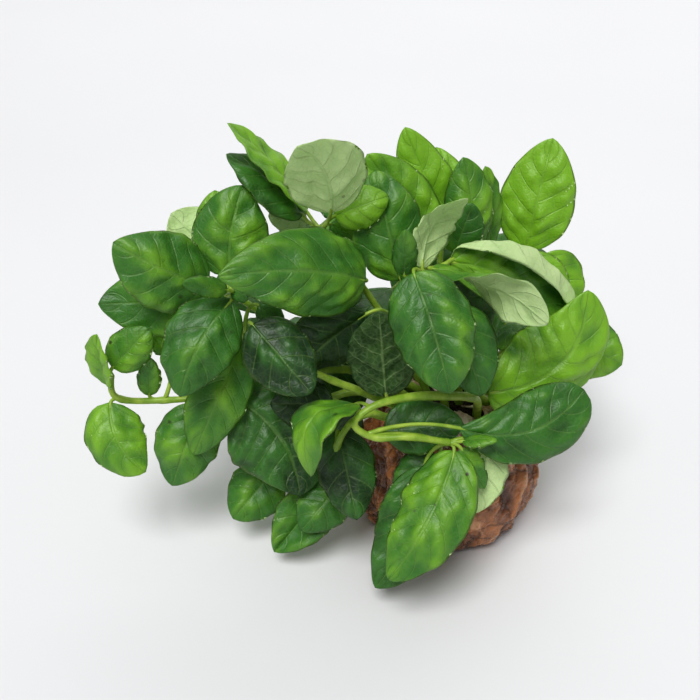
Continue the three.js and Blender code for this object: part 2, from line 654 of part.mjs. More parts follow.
// A closed thin blade: an upper and a lower face, split into triangles alike, and a rim.
function bladeSolid(blade) {
  const [, rows, plainColumns] = BLADE_GRIDS.find(([longest]) => blade.length <= longest);
  const columns = blade.curl ? CURLED_COLUMNS : plainColumns;
  const positions = [];
  const corner = [];
  for (let row = 0; row <= rows; row += 1) {
    const pole = row === 0 || row === rows;
    corner.push([]);
    for (let column = 0; column <= columns; column += 1) {
      if (column === 0 || !pole) {
        const over = pole ? 0 : (2 * column) / columns - 1;
        const { point, normal } = bladePoint(blade, row / rows, over);
        positions.push(...point.clone().addScaledVector(normal, BLADE_THICKNESS / 2));
        positions.push(...point.clone().addScaledVector(normal, -BLADE_THICKNESS / 2));
      }
      corner[row].push(positions.length / 3 - 2);
    }
  }
  const triangles = [];
  const add = (a, b, c) => {
    if (a !== b && b !== c && c !== a) {
      triangles.push(a, b, c);
    }
  };
  for (let row = 0; row < rows; row += 1) {
    for (let column = 0; column < columns; column += 1) {
      const [a, b] = [corner[row][column], corner[row][column + 1]];
      const [c, d] = [corner[row + 1][column + 1], corner[row + 1][column]];
      const split = column < columns / 2 ? [[a, b, d], [b, c, d]] : [[a, b, c], [a, c, d]];
      for (const [first, second, third] of split) {
        add(first, second, third);
        add(third + 1, second + 1, first + 1);
      }
    }
    const [a, d] = [corner[row][0], corner[row + 1][0]];
    add(a, d, d + 1);
    add(a, d + 1, a + 1);
    const [b, c] = [corner[row][columns], corner[row + 1][columns]];
    add(c, b, b + 1);
    add(c, b + 1, c + 1);
  }
  const geometry = new THREE.BufferGeometry();
  geometry.setAttribute('position', new THREE.Float32BufferAttribute(positions, 3));
  geometry.setIndex(triangles);
  return solidOf(geometry);
}

function partOfCurve(curve, from, to, count) {
  const points = [];
  for (let index = 0; index <= count; index += 1) {
    points.push(curve.getPointAt(from + ((to - from) * index) / count));
  }
  return new THREE.CatmullRomCurve3(points);
}

function stemSolid({ foot: [x, y], curve }) {
  const bottom = new THREE.Vector3(x, y, SOIL_TOP - STEM_SINK);
  const surface = new THREE.Vector3(x, y, SOIL_SURFACE + STEM_FOOT_RISE);
  const length = curve.getLength();
  const rise = (STEM_SINK + SOIL_MOUND) / length;
  const lowerSteps = Math.ceil(((SHOOT_START + SHOOT_OVERLAP - rise) * length) / STEM_STEP);
  const upperSteps = Math.ceil(((1 - SHOOT_START) * length) / STEM_STEP);
  const lower = partOfCurve(curve, rise, SHOOT_START + SHOOT_OVERLAP, 2 * lowerSteps);
  const upper = partOfCurve(curve, SHOOT_START, 1, 2 * upperSteps);
  return rod(new THREE.LineCurve3(bottom, surface), STEM_FOOT_RADIUS, STEM_SIDES, 1)
    .add(rod(lower, STEM_RADIUS, STEM_SIDES, lowerSteps))
    .add(rod(upper, SHOOT_RADIUS, STEM_SIDES, upperSteps));
}

// One leafy stem: its rod, with each leaf's petiole sunk in it and each blade grown on its petiole.
function leafyStem(stem, blades) {
  let solid = stemSolid(stem);
  for (const blade of blades) {
    const steps = Math.max(2, Math.round(blade.petiole.getLength() / PETIOLE_STEP));
    solid = solid.add(rod(blade.petiole, PETIOLE_RADIUS, PETIOLE_SIDES, steps));
    solid = solid.add(bladeSolid(blade));
  }
  return solid;
}

// ---- Wrap and root ball ----

const PROFILE_STEPS = 60;
const WRAP_PROFILE = new THREE.SplineCurve([
  [WRAP_FOOT_RADIUS, 0],
  [WRAP_HEEL_RADIUS, WRAP_HEEL_HEIGHT],
  [WRAP_BELLY_RADIUS, WRAP_BELLY_HEIGHT],
  [WRAP_SHOULDER_RADIUS, WRAP_SHOULDER_HEIGHT],
  [WRAP_NECK_RADIUS, WRAP_NECK_HEIGHT],
  [WRAP_RIM_RADIUS, WRAP_RIM_HEIGHT],
].map(([radius, height]) => new THREE.Vector2(radius, height)));
const PROFILE_POINTS = WRAP_PROFILE.getPoints(PROFILE_STEPS);

// The wrap's mean outer radius at a height.
function wrapRadius(height) {
  const next = PROFILE_POINTS.findIndex(({ y }) => y >= height);
  if (next <= 0) {
    return next < 0 ? WRAP_RIM_RADIUS : WRAP_FOOT_RADIUS;
  }
  const [low, high] = [PROFILE_POINTS[next - 1], PROFILE_POINTS[next]];
  return THREE.MathUtils.mapLinear(height, low.y, high.y, low.x, high.x);
}

// How far the film stands out of its mean radius: pleats at the neck, slanting crumples below.
function crumple(angle, height) {
  const neck = THREE.MathUtils.smoothstep(height, PLEATS_START, WRAP_NECK_HEIGHT);
  const above = THREE.MathUtils.smoothstep(height, CRUMPLES_START, CRUMPLES_FULL);
  const belly = above * (1 - CRUMPLES_LOST_AT_NECK * neck);
  const pleats = Math.sin(NECK_PLEATS * angle + PLEAT_UNEVENNESS * Math.sin(2 * angle));
  let crumples = 0;
  for (const [waves, slant, phase, share] of CRUMPLES) {
    crumples += share * Math.sin(waves * angle + slant * height + phase);
  }
  return NECK_PLEAT_DEPTH * neck * pleats + CRUMPLE_DEPTH * belly * crumples;
}

// A turned body whose sides follow the crumpled film. Its rings run from axis to axis, each an inset
// from the film's outside (null on the axis) and a height: from the foot up, or from the top down
// for a flipped body, which splits its facets as the film's inside does.
function crumpledBody(rings, flipped) {
  const profile = rings.map(([inset, height]) => (
    new THREE.Vector2(inset === null ? 0 : wrapRadius(height) - inset, height)
  ));
  const body = new THREE.LatheGeometry(profile, WRAP_SECTORS);
  const positions = body.getAttribute('position');
  const point = new THREE.Vector3();
  for (let index = 0; index < positions.count; index += 1) {
    point.fromBufferAttribute(positions, index);
    const radius = Math.hypot(point.x, point.z);
    const angle = Math.atan2(point.x, point.z);
    const height = point.y;
    const share = THREE.MathUtils.smoothstep(radius, FOLDLESS_RADIUS, FOLDED_RADIUS);
    const grown = radius + share * crumple(angle, height);
    positions.setXYZ(index, grown * Math.sin(angle), -grown * Math.cos(angle), height);
  }
  if (flipped) {
    body.getIndex().array.reverse();
  }
  return solidOf(body);
}

function wrapSolid() {
  const heights = [0, ...WRAP_RING_HEIGHTS, SOIL_TOP, WRAP_RIM_HEIGHT];
  const outside = heights.map((height) => [0, height]);
  const inside = heights.slice(1).reverse().map((height) => [WRAP_WALL, height]);
  const floor = [[WRAP_WALL + FOOT_ROUNDING, WRAP_WALL], [null, WRAP_WALL]];
  return crumpledBody([[null, 0], ...outside, ...inside, ...floor], false);
}

function rootBallSolid(stems) {
  const inset = WRAP_WALL + TOUCH_GAP;
  const side = [...WRAP_RING_HEIGHTS, SOIL_TOP].map((height) => [inset, height]).reverse();
  const mound = [[null, SOIL_SURFACE], [inset + MOUND_INSET, SOIL_SURFACE]];
  const floor = [[inset + FOOT_ROUNDING, inset], [null, inset]];
  let solid = crumpledBody([...mound, ...side, ...floor], true);
  for (const { foot: [x, y] } of Object.values(stems)) {
    const bottom = new THREE.Vector3(x, y, SOIL_TOP - STEM_SINK - HOLE_CLEARANCE);
    const top = new THREE.Vector3(x, y, SOIL_TOP + STEM_SINK);
    solid = solid.subtract(rod(new THREE.LineCurve3(bottom, top), HOLE_RADIUS, HOLE_SIDES, 1));
  }
  return solid;
}

// ---- Assembly ----

function brownFilm() {
  return new THREE.MeshStandardMaterial({ color: 0x6e452e, roughness: 0.35 });
}

function darkPeat() {
  return new THREE.MeshStandardMaterial({ color: 0x2a1c12, roughness: 0.95 });
}

function greenFoliage() {
  return new THREE.MeshStandardMaterial({ color: 0x3f7d22, roughness: 0.42 });
}

function addPart(group, name, solid, material) {
  const mesh = new THREE.Mesh(geometryOf(solid), material);
  mesh.name = name;
  group.add(mesh);
}

const stems = makeStems();
const seenLeaves = Object.entries(LEAVES).flatMap(([stem, rows]) => rows.map((row) => ({ ...row, stem })));
const blades = placeSeenLeaves(seenLeaves, stems);
growBackLeaves(blades, stems);

const plant = new THREE.Group();
addPart(plant, 'wrap', wrapSolid(), brownFilm());
addPart(plant, 'root_ball', rootBallSolid(stems), darkPeat());
for (const [name, stem] of Object.entries(stems)) {
  const own = blades.filter((blade) => blade.stem === name);
  addPart(plant, `leafy_stem_${name}`, leafyStem(stem, own), greenFoliage());
}

export default plant;
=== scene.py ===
import math

import bpy
import numpy as np
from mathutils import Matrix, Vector, noise


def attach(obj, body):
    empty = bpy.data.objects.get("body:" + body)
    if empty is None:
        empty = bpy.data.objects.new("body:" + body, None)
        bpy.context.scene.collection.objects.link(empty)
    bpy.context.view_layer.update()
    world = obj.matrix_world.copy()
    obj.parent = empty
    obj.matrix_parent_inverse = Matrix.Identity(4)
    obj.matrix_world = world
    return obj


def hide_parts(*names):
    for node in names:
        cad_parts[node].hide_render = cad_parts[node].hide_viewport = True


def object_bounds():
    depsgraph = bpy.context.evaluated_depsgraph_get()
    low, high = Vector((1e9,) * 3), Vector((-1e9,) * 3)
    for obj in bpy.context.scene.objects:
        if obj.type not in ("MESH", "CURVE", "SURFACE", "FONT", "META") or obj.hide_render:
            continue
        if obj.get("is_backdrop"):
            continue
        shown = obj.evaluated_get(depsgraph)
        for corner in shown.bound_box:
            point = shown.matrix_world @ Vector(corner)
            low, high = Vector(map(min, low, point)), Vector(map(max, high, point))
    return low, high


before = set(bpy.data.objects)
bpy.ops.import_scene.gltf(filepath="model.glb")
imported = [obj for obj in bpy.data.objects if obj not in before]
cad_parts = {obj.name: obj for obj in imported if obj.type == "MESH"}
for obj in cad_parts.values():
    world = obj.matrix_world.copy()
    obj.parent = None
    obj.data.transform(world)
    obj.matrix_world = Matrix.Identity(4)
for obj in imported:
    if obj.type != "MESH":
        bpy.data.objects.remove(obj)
cad_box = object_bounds()

MM = 0.001

# ---- Sizes of the wrap and the root ball, as in the CAD part ----

WRAP_FOOT_RADIUS = 38
WRAP_HEEL_RADIUS = 45
WRAP_HEEL_HEIGHT = 7
WRAP_BELLY_RADIUS = 48
WRAP_BELLY_HEIGHT = 22
WRAP_SHOULDER_RADIUS = 44
WRAP_SHOULDER_HEIGHT = 44
WRAP_NECK_RADIUS = 32
WRAP_NECK_HEIGHT = 62
WRAP_RIM_RADIUS = 34
WRAP_RIM_HEIGHT = 71
WRAP_WALL = 1.2
NECK_PLEATS = 11
NECK_PLEAT_DEPTH = 2.4
PLEAT_UNEVENNESS = 1.3
PLEATS_START = 30
CRUMPLE_DEPTH = 1.6
CRUMPLES_START = 2
CRUMPLES_FULL = 16
CRUMPLES_LOST_AT_NECK = 0.6
# Each crumple: waves round the wrap, slant in radians for a mm of height, phase and share.
CRUMPLES = [(7, 0.11, 0, 0.6), (4, -0.16, 2, 0.42), (3, 0.07, 0.8, 0.5)]
TOUCH_GAP = 0.3
SOIL_TOP = 63
SOIL_MOUND = 2
SOIL_SURFACE = SOIL_TOP + SOIL_MOUND

# ---- Sizes of the stems and leaves, as in the CAD part ----

STEM_FOOT_RADIUS = 2.4
STEM_RADIUS = 2.1
SHOOT_RADIUS = 1.6
PETIOLE_RADIUS = 0.95
STEM_SINK = 20
STEM_UPRIGHT = 3
SHOOT_START = 0.6
BLADE_THICKNESS = 0.7
LEAF_CLEARANCE = 3.4
STEM_CLEARANCE = 4.2
WRAP_CLEARANCE = 3
FLOOR_CLEARANCE = 2
SLIDE_STEP = 3
SLIDE_TRIES = 26
BASE_SLIDE = 0.35
PAIR_REACH = 14
PAIR_FREE = 14
SINGLE_FREE = 5
PETIOLE_CLEARANCE = 2.4
PETIOLE_OVERLAP = 0.1
PETIOLE_APPROACH = 0.45
PETIOLE_SAMPLE_STEP = 4
STEM_SAMPLE_STEP = 3

# ---- The front view, which is the photograph's ----

PICTURE_CENTRE = 350
PICTURE_WIDTH = 700
VIEW_FOCAL = 961.6
VIEW_DISTANCE = 480
VIEW_ELEVATION = math.radians(35)
VIEW_AIM = np.array([-51.0, 0.0, 101.0])
VIEW_FORWARD = np.array([0.0, math.cos(VIEW_ELEVATION), -math.sin(VIEW_ELEVATION)])
VIEW_UP = np.array([0.0, math.sin(VIEW_ELEVATION), math.cos(VIEW_ELEVATION)])
VIEW_EYE = VIEW_AIM - VIEW_DISTANCE * VIEW_FORWARD


def seen(place):
    """The point that shows at a picture column and row and lies at a depth behind the wrap's axis."""
    column, row, depth = place
    ray = VIEW_FORWARD + np.array([(column - PICTURE_CENTRE) / VIEW_FOCAL, 0.0, 0.0])
    ray = ray + VIEW_UP * (PICTURE_CENTRE - row) / VIEW_FOCAL
    return VIEW_EYE + ray * (depth - VIEW_EYE[1]) / ray[1]


def shown(points):
    """The picture columns and rows where points show."""
    offset = points - VIEW_EYE
    scale = VIEW_FOCAL / (offset @ VIEW_FORWARD)
    return PICTURE_CENTRE + scale * offset[:, 0], PICTURE_CENTRE - scale * (offset @ VIEW_UP)


# ---- Stems: foot in the soil, picture points that the stem passes, and its leaf nodes ----

STEMS = {
    "top_left": ((-10, 4), [(405, 350, 3), (372, 300, 5), (345, 262, 8), (319, 228, 10)], [0.6, 0.8, 0.99]),
    "left": ((-16, -4),
        [(375, 375, -6), (320, 345, -8), (270, 318, -8), (229, 291, -7)],
        [0.55, 0.78, 0.99]),
    "low_left": ((-19, -11),
        [(372, 396, -14), (320, 375, -20), (275, 352, -20), (242, 333, -18)],
        [0.6, 0.99]),
    "far_left": ((-14, 9),
        [(370, 372, 6), (300, 372, -4), (230, 392, -16), (168, 400, -20), (116, 397, -25), (110, 372, -27)],
        [0.6, 0.8, 0.9, 0.99]),
    "low_front": ((-20, 3),
        [(350, 392, -8), (316, 404, -11), (276, 412, -13), (242, 410, -13)],
        [0.6, 0.8, 0.99]),
    "front": ((-12, -15),
        [(390, 418, -26), (368, 414, -36), (350, 424, -42), (337, 446, -44), (335, 470, -42)],
        [0.55, 0.7, 0.84, 0.99]),
    "loop": ((14, -8),
        [(474, 398, -24), (448, 396, -34), (410, 397, -44), (372, 407, -52), (354, 424, -56),
         (372, 437, -57), (410, 437, -56), (452, 443, -52)],
        [0.32, 0.8, 0.88, 0.99]),
    "right_front": ((-2, -4), [(430, 350, -10), (420, 305, -18), (421, 270, -22)], [0.7, 0.99]),
    "right": ((19, 1), [(478, 390, -4), (500, 360, 4), (530, 330, 14)], [0.5, 0.99]),
    "curled": ((6, 4), [(450, 340, -2), (450, 300, -4), (440, 266, -4)], [0.6, 0.99]),
    "top_right": ((12, 12), [(470, 340, 18), (485, 290, 30), (500, 252, 40)], [0.6, 0.8, 0.99]),
    "top_middle": ((2, 14), [(440, 330, 16), (440, 280, 22), (440, 245, 28)], [0.7, 0.99]),
}

# Stems at the back: foot in the soil, top, and how far the middle bows up.
BACK_STEMS = {
    "back_left": ((-14, 20), (-90, 62, 118), 14),
    "back_far_left": ((-20, 13), (-126, 34, 92), 20),
    "back_middle": ((-5, 22), (-36, 78, 126), 10),
    "back_right": ((5, 22), (14, 78, 112), 12),
    "back_far_right": ((20, 10), (54, 50, 100), 12),
}
BACK_NODES = [0.45, 0.72, 0.98]
BACK_LEAF_LENGTH = [52, 46, 30]
BACK_LEAF_SLENDERNESS = 0.64
BACK_PETIOLE = 13
BACK_SEED = 20
PAIR_TURN = 90
BACK_TWIST = 40
BACK_PITCH = 30
BACK_TRIES = 16
BACK_SPREAD = 20
BACK_SPREAD_STEP = 5
BACK_LENGTH_SHARES = (0.85, 1.15)
BACK_PETIOLE_SHARES = (0.8, 1.4)
BACK_ROLLS = (-15, 15)
BACK_ARCHES = (0.08, 0.16)
BACK_CUPS = (-0.5, 0)
HIGH_ABOVE = np.array([0.0, 0.0, 1000.0])

# ---- Leaves, by stem: base and tip as (column, row, depth), shape words as in the CAD part ----
# start is the share of the stem that the petiole leaves from, where it isn't the nearest leaf node.

# i5, i6 and h19 are dark leaves set where the inside of the plant is only shade; they and the other inner
# leaves carry deep tones that paint that shade.
LEAVES = {
    "top_left": {
        "a4": dict(base=(331, 213, 6), tip=(297, 146, -20), width=38, roll=172, cup=0.5, sweep=-0.1),
        "a5": dict(base=(334, 216, 6), tip=(389, 196, -4), width=24, cup=-0.4, arch=0.15),
        "a1": dict(base=(307, 212, 8), tip=(227, 123, 4), width=28, roll=68, fold=0.2, arch=0.05, cup=0),
        "a2": dict(base=(303, 216, 16), tip=(226, 154, 14), width=28, roll=48, arch=0.1),
        "a6": dict(base=(330, 224, 18), tip=(362, 240, 26), width=16, cup=0.3),
        "a7": dict(base=(308, 222, 20), tip=(268, 216, 32), width=18, roll=160, cup=0.3),
        "b": dict(base=(366, 281, -8), tip=(217, 277, -38), width=45, cup=-0.6, arch=0.1, sweep=0.05,
            widest=0.34),
        "i2": dict(base=(366, 314, -16), tip=(290, 366, -12), width=37, roll=-30, cup=-0.2, start=0.5),
    },
    "left": {
        "d1": dict(base=(232, 300, -18), tip=(180, 397, -48), width=38, cup=-0.6, arch=0.14, sweep=0.07),
        "c1": dict(base=(229, 277, -2), tip=(243, 185, 14), width=39, cup=-0.4, arch=0.08, sweep=-0.05),
        "c6": dict(base=(228, 290, -22), tip=(182, 283, -36), width=11),
        "c4": dict(base=(209, 285, -10), tip=(113, 242, -22), width=39, cup=-0.4, arch=0.1, sweep=-0.05),
        "c7": dict(base=(231, 291, -16), tip=(248, 300, -24), width=8),
        "c5": dict(base=(214, 300, -2), tip=(98, 304, -12), width=36, cup=-0.35, arch=0.08),
        "c2": dict(base=(222, 264, 8), tip=(215, 190, 22), width=26),
        "c3": dict(base=(214, 252, 18), tip=(171, 213, 28), width=30, roll=180, cup=0.4),
    },
    "low_left": {
        "d2": dict(base=(240, 346, -18), tip=(194, 455, -40), width=31, cup=-0.35, arch=0.08),
        "d4": dict(base=(200, 404, -22), tip=(172, 486, -34), width=34, cup=-0.4, arch=0.1, start=0.9),
        "i4": dict(base=(258, 305, -16), tip=(284, 326, -20), width=13),
        "i3": dict(base=(252, 324, -22), tip=(312, 394, -32), width=33, start=0.9),
    },
    "far_left": {
        "i5": dict(base=(368, 388, 14), tip=(288, 390, 22), width=36, roll=-20, start=0.35),
        "d3a": dict(base=(112, 368, -26), tip=(150, 328, -18), width=22),
        "d3b": dict(base=(108, 386, -28), tip=(97, 334, -30), width=20, roll=-60, fold=0.3, cup=0),
        "d3c": dict(base=(149, 396, -22), tip=(150, 357, -28), width=11, cup=0.3),
        "d6": dict(base=(166, 354, -14), tip=(151, 333, -12), width=8, cup=0.4, fold=0.4),
        "d3d": dict(base=(110, 402, -28), tip=(146, 472, -46), width=33, cup=-0.6, sweep=0.14, arch=0.1),
    },
    "low_front": {
        "e1": dict(base=(236, 399, -24), tip=(300, 496, -50), width=54, cup=-0.4, sweep=-0.13),
        "e2": dict(base=(274, 470, -22), tip=(233, 519, -38), width=32),
        "i6": dict(base=(334, 404, -19), tip=(270, 404, -22), width=26, start=0.6),
    },
    "front": {
        "e6": dict(base=(357, 404, -42), tip=(311, 477, -66), width=32, roll=50, arch=0.42, cup=0.2),
        "e5": dict(base=(338, 430, -36), tip=(357, 520, -56), width=30, arch=0.06),
        "e7": dict(base=(352, 406, -24), tip=(322, 452, -22), width=26),
        "e4": dict(base=(342, 482, -40), tip=(301, 531, -60), width=28, arch=0.05),
        "e3": dict(base=(326, 490, -38), tip=(274, 552, -66), width=30, fold=0.5, widest=0.36, cup=0),
    },
    "loop": {
        "f1": dict(base=(455, 450, -54), tip=(388, 580, -90), width=38, roll=12, cup=-0.5, arch=0.1,
            sweep=-0.08),
        "f2": dict(base=(424, 466, -50), tip=(375, 588, -78), width=36, sweep=-0.08),
        "f3": dict(base=(438, 456, -48), tip=(395, 497, -56), width=24, start=0.76),
        "f5": dict(base=(459, 428, -50), tip=(584, 389, -32), width=36, roll=10, sweep=0.17, widest=0.62,
            start=0.76),
        "f4": dict(base=(384, 428, -40), tip=(464, 424, -38), width=28),
        "f6": dict(base=(461, 448, -54), tip=(485, 489, -60), width=14),
        "f8": dict(base=(462, 441, -52), tip=(498, 441, -56), width=10, roll=-50, arch=0.08, cup=0),
        "f7": dict(base=(490, 444, -48), tip=(473, 514, -60), width=24, roll=170, cup=0.3),
    },
    "right_front": {
        "h1": dict(base=(413, 272, -28), tip=(450, 394, -58), width=41, cup=-0.5, arch=0.1, sweep=-0.02),
        "h16": dict(base=(404, 276, -20), tip=(406, 229, -24), width=13),
        "i1": dict(base=(386, 397, -26), tip=(379, 311, -40), width=33, roll=180, cup=0.3),
        "h2": dict(base=(452, 305, -20), tip=(482, 396, -40), width=32),
    },
    "right": {
        "g1": dict(base=(487, 393, -22), tip=(588, 290, 2), width=53, roll=25, cup=-0.7, sweep=0.23),
        "h3": dict(base=(566, 336, 14), tip=(622, 365, 10), width=34, cup=-0.2),
        "h4": dict(base=(540, 256, 30), tip=(576, 306, 26), width=30, cup=-0.2),
    },
    "curled": {
        "h6": dict(base=(432, 269, -18), tip=(548, 325, -46), width=30, roll=-118, twist=-120, arch=0.1,
            cup=0),
        "h5": dict(base=(449, 262, -4), tip=(561, 340, -12), width=58, roll=0, sweep=-0.14, cup=0.4,
            curl=2.6, near_share=0.5),
        "h19": dict(base=(446, 285, 6), tip=(485, 337, 2), width=31, cup=0.3),
        "h7": dict(base=(522, 256, 14), tip=(566, 305, 6), width=24, arch=0.1, cup=0),
        "h17": dict(base=(421, 269, -8), tip=(468, 198, -2), width=26, roll=-125, arch=0.2, cup=0),
        "h18": dict(base=(454, 254, 10), tip=(473, 203, 12), width=22),
    },
    "top_middle": {
        "h15": dict(base=(400, 281, 2), tip=(375, 170, 16), width=38, cup=-0.45, arch=0.1),
        "h13": dict(base=(430, 240, 24), tip=(367, 154, 30), width=34),
        "h10": dict(base=(450, 215, 40), tip=(405, 127, 48), width=26, sweep=-0.04),
        "h11": dict(base=(462, 232, 34), tip=(436, 147, 40), width=26, roll=-20),
    },
    "top_right": {
        "h12": dict(base=(468, 250, 22), tip=(463, 157, 36), width=28, roll=20, cup=-0.4, sweep=0.05),
        "h9": dict(base=(488, 248, 34), tip=(485, 166, 38), width=20, roll=40, sweep=0.05),
        "h8": dict(base=(525, 250, 46), tip=(553, 138, 60), width=39, cup=-0.15, arch=0.05),
    },
}
LEAF_DEFAULTS = dict(roll=0, arch=0.04, sweep=0, cup=-0.3, fold=0, twist=0, widest=0.42, curl=0, near_share=1)
# Picture columns, rows and radii where the front view looks past the plant.
OPEN_SIGHTS = [(371, 262, 17), (352, 232, 10), (602, 412, 16), (604, 290, 16)]


# ---- Curves ----

ARC_DIVISIONS = 200


def unit(vectors):
    return vectors / np.linalg.norm(vectors, axis=-1, keepdims=True)


class Curve:
    """A curve whose point at a share t of its parameter is given by place(t)."""

    def __init__(self, place):
        self.place = place
        shares = np.linspace(0, 1, ARC_DIVISIONS + 1)
        points = np.array([place(t) for t in shares])
        steps = np.linalg.norm(np.diff(points, axis=0), axis=1)
        self.shares = shares
        self.lengths = np.concatenate([[0], np.cumsum(steps)])

    def length(self):
        return self.lengths[-1]

    def at(self, share):
        """The point at a share of the curve's length."""
        return self.place(np.interp(share * self.lengths[-1], self.lengths, self.shares))

    def tangent(self, t):
        low, high = max(t - 0.0001, 0.0), min(t + 0.0001, 1.0)
        return unit(self.place(high) - self.place(low))

    def spaced(self, count):
        return np.array([self.at(index / count) for index in range(count + 1)])


def through(points):
    """A centripetal curve through points."""
    points = [np.asarray(point, float) for point in points]

    def place(t):
        p = (len(points) - 1) * t
        index = min(int(p), len(points) - 2)
        weight = p - index
        p1, p2 = points[index], points[index + 1]
        p0 = points[index - 1] if index > 0 else 2 * points[0] - points[1]
        p3 = points[index + 2] if index + 2 < len(points) else 2 * points[-1] - points[-2]
        d0, d1, d2 = (((b - a) @ (b - a)) ** 0.25 for a, b in ((p0, p1), (p1, p2), (p2, p3)))
        t1 = d1 * ((p1 - p0) / d0 - (p2 - p0) / (d0 + d1) + (p2 - p1) / d1)
        t2 = d1 * ((p2 - p1) / d1 - (p3 - p1) / (d1 + d2) + (p3 - p2) / d2)
        cubic = 2 * (p1 - p2) + t1 + t2
        square = 3 * (p2 - p1) - 2 * t1 - t2
        return p1 + weight * (t1 + weight * (square + weight * cubic))

    return Curve(place)


def bent(p0, p1, p2, p3):
    """The cubic Bezier curve of four control points."""
    def place(t):
        k = 1 - t
        return k ** 3 * p0 + 3 * k * k * t * p1 + 3 * k * t * t * p2 + t ** 3 * p3

    return Curve(place)


def stem_curve(foot, way):
    """Each stem stands upright in the soil and then follows its way."""
    upright = [SOIL_TOP - STEM_SINK, SOIL_SURFACE, SOIL_SURFACE + STEM_UPRIGHT]
    return through([(*foot, z) for z in upright] + list(way))


def make_stems():
    stems = {}
    for name, (foot, way, nodes) in STEMS.items():
        stems[name] = dict(curve=stem_curve(foot, [seen(place) for place in way]), nodes=nodes, foot=foot)
    for name, (foot, top, bow) in BACK_STEMS.items():
        middle = ((foot[0] + top[0]) / 2, (foot[1] + top[1]) / 2, (SOIL_TOP + top[2]) / 2 + bow)
        curve = stem_curve(foot, [middle, top])
        stems[name] = dict(curve=curve, nodes=BACK_NODES, foot=foot, outward=math.atan2(top[1], top[0]))
    for stem in stems.values():
        stem["samples"] = stem["curve"].spaced(math.ceil(stem["curve"].length() / STEM_SAMPLE_STEP))
    return stems


# ---- Blade surface ----

OUTLINE_POINTEDNESS = 1.25
# The handles of a curve that is lifted at its middle by 1.
HANDLE_LIFT = 4 / 3
CURVE_END_INSET = 0.001
NO_BEND = 1e-6
CURL_START = 0.5
CURL_LENGTH = 7


def outline(along, widest):
    """Half the blade's width at shares of its length, as a share of the widest half."""
    from_base = (along / widest) ** (OUTLINE_POINTEDNESS * widest)
    return from_base * ((1 - along) / (1 - widest)) ** (OUTLINE_POINTEDNESS * (1 - widest))


def lay_out(leaf, base, tip, towards):
    """The leaf's midrib curve and the direction across its blade."""
    chord = tip - base
    length = np.linalg.norm(chord)
    direction = chord / length
    look = towards - (base + tip) / 2
    facing = unit(look - (look @ direction) * direction)
    side = np.cross(direction, facing)
    roll = math.radians(leaf["roll"])
    face = math.cos(roll) * facing + math.sin(roll) * side
    across = np.cross(direction, face)
    sideways = leaf["sweep"] * across

    def lift(share, arch):
        return base + share * chord + HANDLE_LIFT * length * (arch * face + sideways)

    midrib = bent(base, lift(1 / 3, leaf["arch"]), lift(2 / 3, leaf["arch"]), tip)
    return dict(leaf, base=base, tip=tip, length=length, across=across, midrib=midrib)


def turned(vector, axis, angle):
    return (math.cos(angle) * vector + math.sin(angle) * np.cross(axis, vector)
            + (1 - math.cos(angle)) * (axis @ vector) * axis)


def arc_step(length, slope, bend):
    """Where strips that start at a slope and bend evenly get to over their lengths."""
    end = slope + bend * length
    if abs(bend) < NO_BEND:
        return length * np.cos(slope), length * np.sin(slope), end
    return (np.sin(end) - np.sin(slope)) / bend, (np.cos(slope) - np.cos(end)) / bend, end


def blade_row(leaf, along, over):
    """The points of the blade and its upward normals at one share of its length, for shares across."""
    centre = leaf["midrib"].place(along)
    tangent = leaf["midrib"].tangent(min(max(along, CURVE_END_INSET), 1 - CURVE_END_INSET))
    across = unit(leaf["across"] - (leaf["across"] @ tangent) * tangent)
    across = turned(across, tangent, math.radians(leaf["twist"]) * (along - 0.5))
    up = np.cross(across, tangent)
    half = leaf["width"] / 2
    edge = outline(along, leaf["widest"]) * half * np.where(over > 0, leaf["near_share"], 1)
    reach = np.abs(over) * edge
    beyond = np.where((over < 0) & (leaf["curl"] > 0), np.maximum(reach - CURL_START * edge, 0), 0)
    rolled = np.minimum(beyond, CURL_LENGTH)
    inner_out, inner_rise, slope = arc_step(reach - beyond, leaf["fold"], leaf["cup"] / half)
    roll_out, roll_rise, slope = arc_step(rolled, slope, leaf["curl"] / CURL_LENGTH)
    flap_out, flap_rise, slope = arc_step(beyond - rolled, slope, 0)
    hand = np.sign(over)
    points = centre + np.outer(hand * (inner_out + roll_out + flap_out), across)
    points += np.outer(inner_rise + roll_rise + flap_rise, up)
    normals = np.outer(np.cos(slope), up) - np.outer(hand * np.sin(slope), across)
    return points, normals


# ---- Placing the leaves clear of each other, by the CAD part's rule ----

SAMPLE_ROWS = 12
SAMPLE_COLUMNS = 8
SAMPLE_FIRST = 0.12
SAMPLE_LAST = 0.995


def blade_samples(leaf):
    over = np.linspace(-1, 1, SAMPLE_COLUMNS + 1)
    rows = np.linspace(SAMPLE_FIRST, SAMPLE_LAST, SAMPLE_ROWS + 1)
    return np.concatenate([blade_row(leaf, along, over)[0] for along in rows])


def least_distance(some, others):
    if len(some) == 0 or len(others) == 0:
        return math.inf
    return math.sqrt(((some[:, None] - others[None]) ** 2).sum(axis=2).min())


def far_from(samples, centre, distance):
    return samples[np.linalg.norm(samples - centre, axis=1) > distance]


